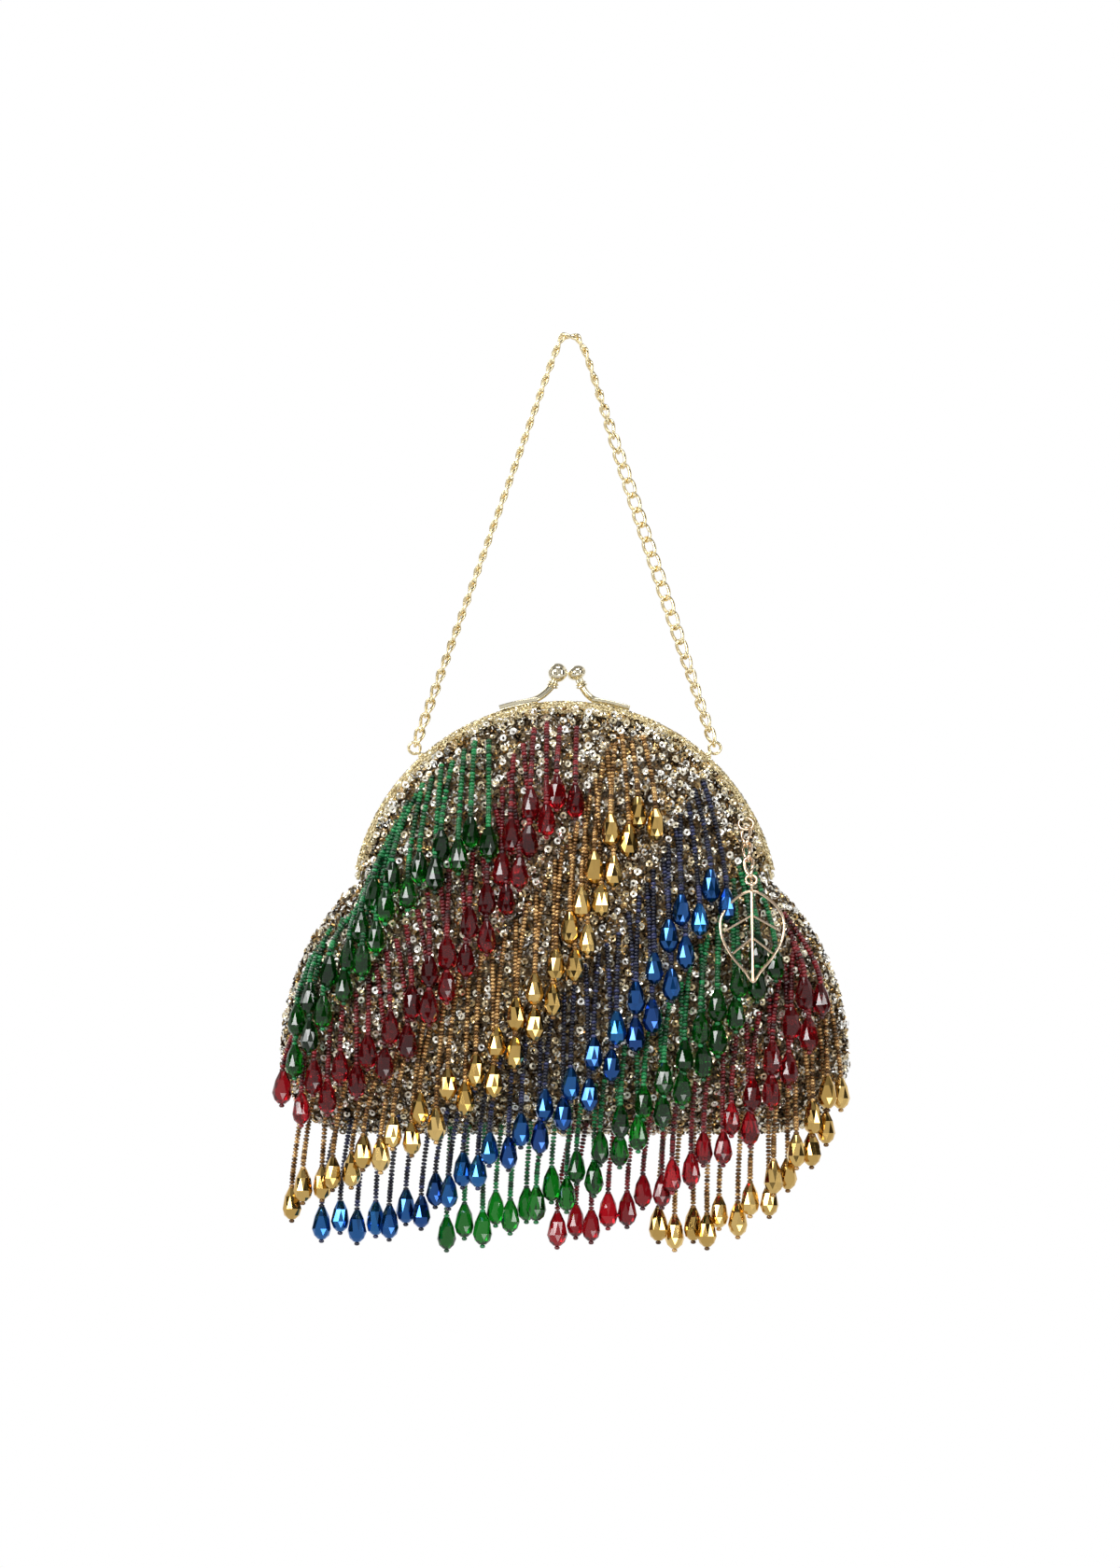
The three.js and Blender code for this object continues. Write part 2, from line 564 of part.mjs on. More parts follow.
// A rivet through both tabs, with a head at each end.
function makeHingeRivet(name, end) {
  const outside = outerTab[1] + clearance;
  const inside = innerTab[0] - clearance;
  const head = (from) => hingeRod(end, rivetHeadRadius, [from, from + rivetHeadThickness]);
  const shank = hingeRod(end, rivetRadius, [inside - clearance, outside + clearance]);
  return piece(name, fuse([shank, head(outside), head(inside - rivetHeadThickness)]), polished());
}

// One arm of the kiss-lock: a pinned bar, a bent neck, two collars and a head. The left arm, side -1,
// stands on the front half.
function makeClasp(name, side) {
  const [from, to] = [90 - side * barStart, 90 - side * barEnd].map(radians);
  const outline = new THREE.Shape();
  outline.absarc(0, 0, standRadius + barThickness, from, to, side < 0);
  outline.absarc(0, 0, standRadius, to, from, side > 0);
  const bar = new THREE.ExtrudeGeometry(outline, { depth: barDepth, bevelEnabled: false, curveSegments: 2 });
  bar.rotateX(Math.PI / 2).translate(0, side * slotMiddle + barDepth / 2, 0);

  const ball = new THREE.Vector3(ballShift + side * ballOffset, side * ballCross, frameRadius + ballRise);
  const lean = new THREE.Vector3(-side * Math.sin(radians(headTilt)), 0, Math.cos(radians(headTilt)));
  const foot = ball.clone().addScaledVector(lean, -collarDrop);
  const root = onArch(standRadius + barThickness / 2, side * (barEnd + 1), side * slotMiddle);
  const bend = onArch(standRadius + barThickness / 2, side * (barEnd - 1), side * slotMiddle);
  const line = new THREE.QuadraticBezierCurve3(root, bend, foot).getPoints(3);
  const neck = wire(line, neckRadius, false, 3, 6);

  const flat = ballRadius * (side < 0 ? 1 : ballFlattening);
  const head = [
    [0, -collarDrop - 0.7], [collarRadius, -collarDrop - 0.3], [0.65 * collarRadius, -collarDrop + 0.2],
    [0.95 * collarRadius, -collarDrop + 0.6], [0.42 * ballRadius, -0.9 * flat], [0.87 * ballRadius, -0.5 * flat],
    [ballRadius, 0], [0.87 * ballRadius, 0.5 * flat], [0.5 * ballRadius, 0.87 * flat], [0, flat],
  ].map(([r, h]) => new THREE.Vector2(r, h));
  const turned = new THREE.LatheGeometry(head, 10).rotateX(Math.PI / 2);
  turned.applyMatrix4(placed(ball, lean, new THREE.Vector3(1, 0, 0)));
  return piece(name, fuse([bar, archPin(side * barMiddle, side, pinRadius, pinDepth), neck, turned]), polished());
}

// The chain and its ears

const earAt = (end) => onArch(frameRadius + earRise, end * earAngle, slotMiddle);

// A ring on a collared post, pinned into the back half of the frame.
function makeEar(name, end) {
  const out = onArch(1, end * earAngle);
  const middle = new THREE.Vector3(0, slotMiddle, 0);
  const ring = new THREE.TorusGeometry(earRingRadius, earWireRadius, 5, 10).rotateX(Math.PI / 2);
  ring.translate(0, 0, frameRadius + earRise).applyMatrix4(placed(middle, out, new THREE.Vector3(1, 0, 0)));
  const top = frameRadius + earRise - earRingRadius;
  const profile = [
    [0, standRadius], [earCollarRadius, standRadius], [earCollarRadius, standRadius + earCollarThickness],
    [pinRadius, standRadius + earCollarThickness], [pinRadius, top], [0, top],
  ].map(([r, h]) => new THREE.Vector2(r, h));
  const post = new THREE.LatheGeometry(profile, 8).rotateX(Math.PI / 2);
  post.applyMatrix4(placed(middle, out, new THREE.Vector3(0, 1, 0)));
  return piece(name, fuse([post, ring, archPin(end * earAngle, 1, pinRadius, pinDepth)]), polished());
}

// One twisted curb link about its own centre, with +Z along the chain. Its ends are straight, and its wire
// has a ridge on the inside, where the next link bears on it.
function curbLink(pitch) {
  const [stations, sides] = [10, 5];
  const halfWidth = linkWidth / 2 - linkWireRadius;
  const line = (station, halfLength) => {
    const angle = (2 * Math.PI * (station + 0.5)) / stations;
    const across = halfWidth * Math.sign(Math.sin(angle)) * Math.abs(Math.sin(angle)) ** 0.7;
    const turn = (radians(linkTwist) * Math.cos(angle)) / 2;
    return new THREE.Vector3(across * Math.cos(turn), across * Math.sin(turn), halfLength * Math.cos(angle));
  };
  const section = (station, halfLength) => {
    const middle = line(station, halfLength);
    const along = line(station + 0.1, halfLength).sub(line(station - 0.1, halfLength)).normalize();
    const inward = middle.clone().negate().addScaledVector(along, middle.dot(along)).normalize();
    return { middle, inward, across: new THREE.Vector3().crossVectors(along, inward) };
  };
  // The ridge at each end has to lie half a bite inside the pitch.
  const ridge = (halfLength) => {
    const { middle, inward } = section(0, halfLength);
    return middle.z + inward.z * linkWireRadius;
  };
  let halfLength = pitch / 2 + linkWireRadius;
  for (let k = 0; k < 4; k += 1) halfLength += (pitch - linkBite) / 2 - ridge(halfLength);

  const points = [];
  const faces = [];
  for (let k = 0; k < stations; k += 1) {
    const { middle, inward, across } = section(k, halfLength);
    for (let i = 0; i < sides; i += 1) {
      const angle = (2 * Math.PI * i) / sides;
      points.push(middle.clone().addScaledVector(inward, linkWireRadius * Math.cos(angle))
        .addScaledVector(across, linkWireRadius * Math.sin(angle)));
      const [a, b] = [k * sides + i, k * sides + ((i + 1) % sides)];
      const [c, d] = [b, a].map((n) => (n + sides) % (stations * sides));
      faces.push(a, b, c, a, c, d);
    }
  }
  const geometry = new THREE.BufferGeometry().setFromPoints(points);
  geometry.setIndex(faces);
  return geometry;
}

// Links along a curve between two of its lengths. rollAt turns a link by its share of the curve.
function curbLinks(route, from, to, count, rollAt) {
  const pitch = (to - from) / count;
  const length = route.getLength();
  return Array.from({ length: count }, (unused, k) => {
    const [a, b] = [k, k + 1].map((i) => route.getPointAt((from + i * pitch) / length));
    const along = b.clone().sub(a);
    const flat = new THREE.Vector3().crossVectors(new THREE.Vector3(0, 1, 0), along);
    const roll = new THREE.Matrix4().makeRotationZ(radians(rollAt((from + (k + 0.5) * pitch) / length)));
    return curbLink(along.length()).applyMatrix4(roll).applyMatrix4(placed(a.lerp(b, 0.5), along, flat));
  });
}

// The handle: two strands from the ears, which meet at the top. Its points are in the whole bag's frame.
function makeHandle(bagHeight) {
  const ears = [-1, 1].map((end) => earAt(end).add(new THREE.Vector3(0, 0, bagHeight)));
  const top = chainTop.map((point) => new THREE.Vector3(...point));
  const fall = (a, b) => [0.25, 0.5, 0.75].map((share) => new THREE.Vector3().lerpVectors(a, b, share));
  const points = [ears[0], ...fall(ears[0], top[0]), ...top, ...fall(top[top.length - 1], ears[1]), ears[1]];
  const route = new THREE.CatmullRomCurve3(points, false, 'centripetal');
  route.arcLengthDivisions = 1000;
  const length = route.getLength();
  // The end links' wires pass inside the ears' rings, and the strands' end links pass inside each other.
  const inset = earRingRadius - earWireRadius - clearance - linkBite / 2;
  const overlap = clearance + linkBite / 2;
  const meeting = strandsMeet * length;
  const roll = (share) => between(chainRoll, 'along', 'roll', share);
  const strands = { chain_left: [inset, meeting + overlap], chain_right: [meeting - overlap, length - inset] };
  return Object.entries(strands).map(([name, [from, to]]) =>
    piece(name, fuse(curbLinks(route, from, to, Math.round((to - from) / linkPitch), roll)), polished()));
}

// The fringe

// A band's strings, spaced evenly along the line of their drops.
function bandPlaces({ rows, strips }) {
  const points = rows.map((row) => {
    const [sewnHeight, dropHeight] = [row.sewnDown, row.dropDown].map((down) => frameRadius - down * pouchHeight);
    return {
      sewn: new THREE.Vector2(row.sewnAcross * halfWidthAt(sewnHeight), sewnHeight),
      drop: new THREE.Vector2(row.dropAcross * pouchHalfWidth, dropHeight),
    };
  });
  const lengths = points.map(() => 0);
  for (let k = 1; k < points.length; k += 1) {
    lengths[k] = lengths[k - 1] + points[k].drop.distanceTo(points[k - 1].drop);
  }
  return Array.from({ length: strips }, (unused, i) => {
    const at = (lengths[lengths.length - 1] * i) / (strips - 1);
    const k = Math.max(lengths.findIndex((length) => length >= at - 1e-6), 1);
    const share = (at - lengths[k - 1]) / (lengths[k] - lengths[k - 1]);
    const mix = (key) => points[k - 1][key].clone().lerp(points[k][key], share);
    return { sewn: mix('sewn'), drop: mix('drop') };
  });
}

// The rings of a string of beads below its foot on the braid: it follows the cloth, then bears a faceted drop.
function stringRings({ sewn, drop }, footRise) {
  const sides = 4;
  const foot = sewn.y - braidWidth / 2 - stringRadius - footRise;
  const shoulder = drop.y + dropLength / 2;
  const stringOut = clearance + surfaceSlack + braidThickness / 2;
  const dropOut = 3 * clearance + surfaceSlack + braidThickness + dropRadius;
  const middleAt = (z, out) => {
    const x = lerp(sewn.x, drop.x, (sewn.y - z) / (sewn.y - drop.y));
    return new THREE.Vector3(x, -(hangDepth(x, sewn.y, z) + out), z);
  };
  const ring = (z, out, radius) => Array.from({ length: sides }, (unused, i) => {
    const angle = (2 * Math.PI * i) / sides;
    return middleAt(z, out).add(new THREE.Vector3(radius * Math.cos(angle), -radius * Math.sin(angle), 0));
  });
  return [
    ring(foot, stringOut, stringRadius),
    ring(lerp(foot, shoulder, 0.5), stringOut, stringRadius),
    ring(shoulder, dropOut, stringRadius),
    ring(shoulder - dropBelly * dropLength, dropOut, dropRadius),
    [middleAt(shoulder - dropLength, dropOut)],
  ];
}

// One band: a thick braid along the stitched line, whose underside runs out into the strings one by one.
function makeFringe(band) {
  const places = bandPlaces(band);
  const sewn = places.map((place) => place.sewn);
  const last = sewn.length - 1;
  const past = (end, next) => end.clone().addScaledVector(end.clone().sub(next).normalize(), braidOverhang);
  const joints = [
    past(sewn[0], sewn[1]),
    ...sewn.slice(1).map((point, i) => point.clone().lerp(sewn[i], 0.5)),
    past(sewn[last], sewn[last - 1]),
  ];
  const lift = clearance + surfaceSlack;
  const points = joints.flatMap(({ x, y }) => {
    const lie = (z, out) => new THREE.Vector3(x, -(swell(x, z) + out), z);
    const [low, high] = [y - braidWidth / 2, y + braidWidth / 2];
    return [lie(high, lift), lie(high, lift + braidThickness), lie(low, lift + braidThickness), lie(low, lift)];
  });
  const end = 4 * (joints.length - 1);
  const faces = [0, 1, 2, 0, 2, 3, end, end + 2, end + 1, end, end + 3, end + 2];
  const quad = (a, b, c, d) => faces.push(a, b, c, a, c, d);
  places.forEach((place, k) => {
    const [here, next] = [4 * k, 4 * k + 4];
    quad(here, next, next + 1, here + 1);
    quad(here + 1, next + 1, next + 2, here + 2);
    quad(here + 3, next + 3, next, here);
    const slope = Math.abs((joints[k + 1].y - joints[k].y) / (joints[k + 1].x - joints[k].x));
    let above = [here + 2, next + 2, next + 3, here + 3]; // the braid's underside
    for (const ring of stringRings(place, slope * stringRadius)) {
      const below = ring.map((point) => points.push(point) - 1);
      for (let i = 0; i < 4; i += 1) {
        const j = (i + 1) % 4;
        if (below.length === 1) faces.push(above[i], above[j], below[0]);
        else quad(above[i], above[j], below[j], below[i]);
      }
      above = below;
    }
  });
  const geometry = new THREE.BufferGeometry().setFromPoints(points);
  geometry.setIndex(faces);
  const beads = new THREE.MeshStandardMaterial({ color: band.color, roughness: 0.15, metalness: 0.3 });
  return piece(band.name, geometry, beads);
}

// The charm

function charmRoute() {
  const points = charmFall.map(({ across, down, proud }) => {
    const [x, z] = [eyeletAt.x + across * charmDrop, eyeletAt.z - down * charmDrop];
    return new THREE.Vector3(x, -(swell(x, z) + proud * charmDrop), z);
  });
  return new THREE.CatmullRomCurve3([eyeletAt.clone(), ...points], false, 'centripetal');
}
const charmLine = charmRoute();
const charmRoll = 50; // degrees that the charm's links are rolled about their line
const linkedStep = (first, second, slack) => first + second + slack; // between the middles of linked wires

// A ring on the charm's line, faced to the front, whose wire passes the line at a length.
function charmRing(from, radius, wireRadius) {
  const length = charmLine.getLength();
  const [a, b] = [from, from + 2 * radius].map((at) => charmLine.getPointAt(at / length));
  const along = b.clone().sub(a);
  const axis = new THREE.Vector3().crossVectors(along, new THREE.Vector3(1, 0, 0));
  return new THREE.TorusGeometry(radius, wireRadius, 5, 10).applyMatrix4(placed(a.lerp(b, 0.5), axis, along));
}

// The chain: a jump ring through the eyelet, curb links, and a small ring that holds the leaf.
function charmChainLayout() {
  const hook = eyeletRadius - eyeletWireRadius - charmRingWireRadius - clearance;
  const ringBottom = hook + 2 * charmRingRadius;
  const linkTop = ringBottom - linkedStep(charmRingWireRadius, linkWireRadius, -linkBite);
  const bite = linkWireRadius - linkBite / 2; // an end link's wire past the end of its pitch
  const linksEnd = linkTop + bite + charmLinkCount * charmLinkPitch;
  const endRing = linksEnd + bite - linkedStep(linkWireRadius, leafWireRadius, -linkBite);
  const leafLoop = endRing + 2 * charmEndRingRadius - linkedStep(leafWireRadius, leafWireRadius, charmSlack);
  return { hook, links: [linkTop + bite, linksEnd], endRing, leafLoop };
}

function makeCharmChain() {
  const { hook, links, endRing } = charmChainLayout();
  return piece('charm_chain', fuse([
    charmRing(hook, charmRingRadius, charmRingWireRadius),
    ...curbLinks(charmLine, links[0], links[1], charmLinkCount, () => charmRoll),
    charmRing(endRing, charmEndRingRadius, leafWireRadius),
  ]), polished());
}

// A leaf bent from wire, with a loop at its stem: an outline, a midrib and two pairs of veins.
function makeCharmLeaf() {
  const { leafLoop } = charmChainLayout();
  const length = charmLine.getLength();
  const top = charmLine.getPointAt(leafLoop / length);
  const down = charmLine.getTangentAt(Math.min((leafLoop + leafLength / 2) / length, 1));
  const outline = [
    { along: 0.1, across: 0 }, { along: 0.2, across: 0.3 }, { along: 0.36, across: 0.48 },
    { along: 0.54, across: 0.48 }, { along: 0.74, across: 0.33 }, { along: 0.9, across: 0.12 },
  ];
  const at = (along, across) => new THREE.Vector3(across * leafWidth, 0, along * leafLength);
  const rightSide = outline.map((row) => at(row.along, row.across));
  const leftSide = outline.slice(1).reverse().map((row) => at(row.along, -row.across));
  const veins = [[0.34, 0.5, 0.44], [0.56, 0.72, 0.31]];
  const loopSize = charmLoopRadius / leafLength;
  const parts = [
    wire([...rightSide, at(1, 0), ...leftSide], leafWireRadius, true, 18),
    wire([at(2 * loopSize, 0), at(0.99, 0)], leafWireRadius, false, 1),
    new THREE.TorusGeometry(charmLoopRadius, leafWireRadius, 5, 10).rotateY(Math.PI / 2)
      .translate(0, 0, charmLoopRadius),
  ];
  for (const [from, to, reach] of veins) {
    for (const side of [-1, 1]) {
      const vein = new THREE.LineCurve3(at(from, 0), at(to, side * reach)).getPoints(2);
      parts.push(wire(vein, 0.8 * leafWireRadius, false, 1));
    }
  }
  const leaf = fuse(parts).applyMatrix4(placed(top, down, new THREE.Vector3(1, 0, 0)));
  return piece('charm_leaf', leaf, polished());
}

// The whole bag: everything below the chain is placed about the centre of the arch.
const potliBag = new THREE.Group();
potliBag.name = 'potli_bag';
const bag = new THREE.Group();
bag.position.z = -(handleDrop + frameRadius);
potliBag.add(...makeHandle(bag.position.z), bag);
bag.add(
  makePouch(),
  makeFrameHalf('frame_front', -1),
  makeFrameHalf('frame_back', 1),
  makeHingeRivet('hinge_rivet_left', -1),
  makeHingeRivet('hinge_rivet_right', 1),
  makeClasp('clasp_left', -1),
  makeClasp('clasp_right', 1),
  makeEar('chain_ear_left', -1),
  makeEar('chain_ear_right', 1),
  ...bands.map(makeFringe),
  makeCharmChain(),
  makeCharmLeaf(),
);

export default potliBag;
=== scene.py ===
"""A beaded potli bag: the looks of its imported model.

The sequinned pouch, the bead fringe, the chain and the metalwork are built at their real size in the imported
model's own frame: +Z up, the beaded front faces -Y, and the origin is the top of the chain, where the bag
hangs. Sizes are in millimetres until a mesh is made, unless a name or a comment says otherwise.
"""
from __future__ import annotations

import logging
import math
from dataclasses import dataclass
from enum import Enum
from functools import cache, cached_property
from typing import Iterable, NamedTuple, Sequence, Union

import bmesh
import bpy
import numpy as np
from mathutils import Matrix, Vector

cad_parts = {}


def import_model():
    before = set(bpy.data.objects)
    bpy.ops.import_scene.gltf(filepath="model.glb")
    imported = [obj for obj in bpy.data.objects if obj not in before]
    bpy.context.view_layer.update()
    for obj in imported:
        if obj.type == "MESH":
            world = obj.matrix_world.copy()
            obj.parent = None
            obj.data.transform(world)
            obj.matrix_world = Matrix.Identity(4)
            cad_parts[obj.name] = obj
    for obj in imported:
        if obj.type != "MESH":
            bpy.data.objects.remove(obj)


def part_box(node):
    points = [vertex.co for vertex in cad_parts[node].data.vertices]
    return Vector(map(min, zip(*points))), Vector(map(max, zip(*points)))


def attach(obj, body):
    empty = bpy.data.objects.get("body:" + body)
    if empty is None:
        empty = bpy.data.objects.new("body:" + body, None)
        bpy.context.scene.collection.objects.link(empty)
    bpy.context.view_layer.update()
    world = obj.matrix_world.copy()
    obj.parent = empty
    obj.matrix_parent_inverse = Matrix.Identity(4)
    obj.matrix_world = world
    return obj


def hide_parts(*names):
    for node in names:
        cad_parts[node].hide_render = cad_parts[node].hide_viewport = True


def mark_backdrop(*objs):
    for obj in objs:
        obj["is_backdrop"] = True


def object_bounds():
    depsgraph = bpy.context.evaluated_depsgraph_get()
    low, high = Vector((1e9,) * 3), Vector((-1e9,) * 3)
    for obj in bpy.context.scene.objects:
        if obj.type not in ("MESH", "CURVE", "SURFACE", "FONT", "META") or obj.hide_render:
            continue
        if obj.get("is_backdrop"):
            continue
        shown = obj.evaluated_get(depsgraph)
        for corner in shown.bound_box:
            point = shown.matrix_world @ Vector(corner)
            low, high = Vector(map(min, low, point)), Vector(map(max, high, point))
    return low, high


LOG = logging.getLogger("potli_bag")
MM = 0.001  # metres in a millimetre
BODY = "root"

Array = np.ndarray
Faces = list[tuple[int, ...]]
Pair = tuple[float, float]
Triple = tuple[float, float, float]
Profile = tuple[Pair, ...]  # radii and places along an axis
Colour = Triple
Value = Union[float, Sequence[float], bpy.types.ID, "Term"]
Stops = tuple[tuple[float, Colour], ...]


class Hue(Enum):
    """The colours of the bead fringe."""

    GREEN = "green"
    RED = "red"
    GOLD = "gold"
    BLUE = "blue"


class Side(Enum):
    """A side of the bag, with the sign that it has across it."""

    LEFT = -1
    RIGHT = 1


class Face(Enum):
    """The two cloth faces, with their sign along Y."""

    FRONT = -1
    BACK = 1


X_AXIS, Y_AXIS, Z_AXIS = np.eye(3)
GLASS_BEND = 1.5  # how strongly glass bends light
ROUGH_LEAST, ROUGH_SPREAD = 0.7, 0.6  # shares of a finish's roughness, at tone 0 and added by tone 1
RELIEF_HEIGHT = 0.0004  # metres
RELIEF_SCALE = 2.5  # how much finer a finish's relief is than its grain


# Points, frames and curves


def unit(vectors: Array) -> Array:
    """Vectors at length one."""
    return vectors / np.maximum(np.linalg.norm(vectors, axis=-1, keepdims=True), 1e-12)


def full_turn(count: int) -> Array:
    """Angles spaced evenly round a full turn."""
    return np.linspace(0, 2 * math.pi, count, endpoint=False)


def polar(radius: Array | float, angle: Array, height: Array | float = 0.0) -> Array:
    """Points about the Z axis, from radii, angles in radians and heights."""
    return np.stack(np.broadcast_arrays(radius * np.cos(angle), radius * np.sin(angle), height), -1)


def hermite(t: Array, start: Array, end: Array, out: Array, home: Array) -> Array:
    """A cubic from start to end, with the slopes that it leaves and comes home at."""
    return ((2 * t ** 3 - 3 * t ** 2 + 1) * start + (t ** 3 - 2 * t ** 2 + t) * out
            + (3 * t ** 2 - 2 * t ** 3) * end + (t ** 3 - t ** 2) * home)


def on_arch(radius: Array | float, degrees: Array | float, y: Array | float = 0.0) -> Array:
    """Points about the centre of the arch.

    Args:
        radius: Distance from the centre.
        degrees: Angle from straight up, positive to the right.
        y: Place front to back.

    Returns:
        Points, in the last axis.
    """
    angle = np.radians(degrees)
    return np.stack(np.broadcast_arrays(radius * np.sin(angle), y, radius * np.cos(angle)), -1)


def placed(at: Array, along: Array, across: Array) -> Array:
    """A frame at a point.

    Args:
        at: Where its origin goes.
        along: Where its +Z points.
        across: Where its +X points, as nearly as it can.

    Returns:
        A 4 by 4 matrix.
    """
    z = unit(np.asarray(along, float))
    x = unit(across - z * np.dot(across, z))
    matrix = np.eye(4)
    matrix[:3, 0], matrix[:3, 1], matrix[:3, 2], matrix[:3, 3] = x, np.cross(z, x), z, at
    return matrix


def turned(degrees: float) -> Array:
    """A 4 by 4 matrix that turns about Z."""
    return np.array(Matrix.Rotation(math.radians(degrees), 4, "Z"))


def moved(points: Array, matrix: Array) -> Array:
    """Points under a 4 by 4 matrix."""
    return points @ matrix[:3, :3].T + matrix[:3, 3]


def resampled(points: Array, count: int) -> Array:
    """Points spaced evenly along a line of points."""
    lengths = np.concatenate([[0.0], np.cumsum(np.linalg.norm(np.diff(points, axis=0), axis=1))])
    at = np.linspace(0, lengths[-1], count)
    return np.stack([np.interp(at, lengths, column) for column in points.T], -1)


def bezier(points: Sequence[Sequence[float]], count: int) -> Array:
    """Points along a quadratic or cubic Bezier curve."""
    level = np.repeat(np.asarray(points, float)[None], count, 0)
    t = np.linspace(0, 1, count)[:, None, None]
    while level.shape[1] > 1:
        level = (1 - t) * level[:, :-1] + t * level[:, 1:]
    return level[:, 0]


class Route:
    """A smooth line through chosen points, measured along its length."""

    def __init__(self, points: Sequence[Sequence[float]], steps: int, closed: bool = False) -> None:
        """Threads a centripetal spline through the points.

        Args:
            points: The chosen points.
            steps: Stations on each span.
            closed: Whether the last point joins the first.
        """
        chosen = np.asarray(points, float)
        if closed:
            chosen = np.concatenate([chosen[-1:], chosen, chosen[:2]])
        else:
            chosen = np.concatenate([2 * chosen[:1] - chosen[1:2], chosen, 2 * chosen[-1:] - chosen[-2:-1]])
        spans = [self._span(chosen[k:k + 4], steps) for k in range(len(chosen) - 3)]
        self.points = np.concatenate([*spans, chosen[-2:-1]])
        steps_long = np.linalg.norm(np.diff(self.points, axis=0), axis=1)
        self.lengths = np.concatenate([[0.0], np.cumsum(steps_long)])

    @staticmethod
    def _span(four: Array, steps: int) -> Array:
        """Stations between the middle two of four points."""
        d0, d1, d2 = np.maximum(np.sum(np.diff(four, axis=0) ** 2, axis=1) ** 0.25, 1e-6)
        p0, p1, p2, p3 = four
        out = ((p1 - p0) / d0 - (p2 - p0) / (d0 + d1) + (p2 - p1) / d1) * d1
        home = ((p2 - p1) / d1 - (p3 - p1) / (d1 + d2) + (p3 - p2) / d2) * d1
        return hermite(np.linspace(0, 1, steps, endpoint=False)[:, None], p1, p2, out, home)

    @property
    def length(self) -> float:
        """The whole length."""
        return float(self.lengths[-1])

    def at(self, distance: float) -> Array:
        """The point at a distance from the start."""
        return np.array([np.interp(distance, self.lengths, column) for column in self.points.T])

    def heading(self, distance: float) -> Array:
        """The direction at a distance from the start."""
        return unit(self.at(min(distance + 0.2, self.length)) - self.at(max(distance - 0.2, 0)))


@dataclass(frozen=True)
class SmoothTable:
    """A smooth curve through the rows of a short table of places and values."""

    rows: tuple[Pair, ...]

    def at(self, where: Array | float) -> Array:
        """The value at a place, held level past the ends."""
        keys, values = np.array(self.rows, float).T
        last = len(keys) - 1
        low, high = np.maximum(np.arange(last + 1) - 1, 0), np.minimum(np.arange(last + 1) + 1, last)
        slopes = (values[high] - values[low]) / (keys[high] - keys[low])
        place = np.asarray(where, float)
        k = np.clip(np.searchsorted(keys, place, side="right") - 1, 0, last - 1)
        span = keys[k + 1] - keys[k]
        s = np.clip((place - keys[k]) / span, 0, 1)
        return hermite(s, values[k], values[k + 1], span * slopes[k], span * slopes[k + 1])


# Meshes


def linked(name: str, data: bpy.types.ID) -> bpy.types.Object:
    """A new object in the scene."""
    made = bpy.data.objects.new(name, data)
    bpy.context.scene.collection.objects.link(made)
    return made


def drop_object(thing: bpy.types.Object) -> None:
    """Removes an object and its mesh."""
    mesh = thing.data
    bpy.data.objects.remove(thing)
    bpy.data.meshes.remove(mesh)


def walls(rings: int, sides: int, closed: bool = False, first: int = 0) -> Faces:
    """Faces between rings of points that follow one another, and back to the first ring where closed."""
    faces: Faces = []
    for k in range(rings if closed else rings - 1):
        here, there = first + k * sides, first + (k + 1) % rings * sides
        for i in range(sides):
            j = (i + 1) % sides
            faces.append((here + i, here + j, there + j, there + i))
    return faces


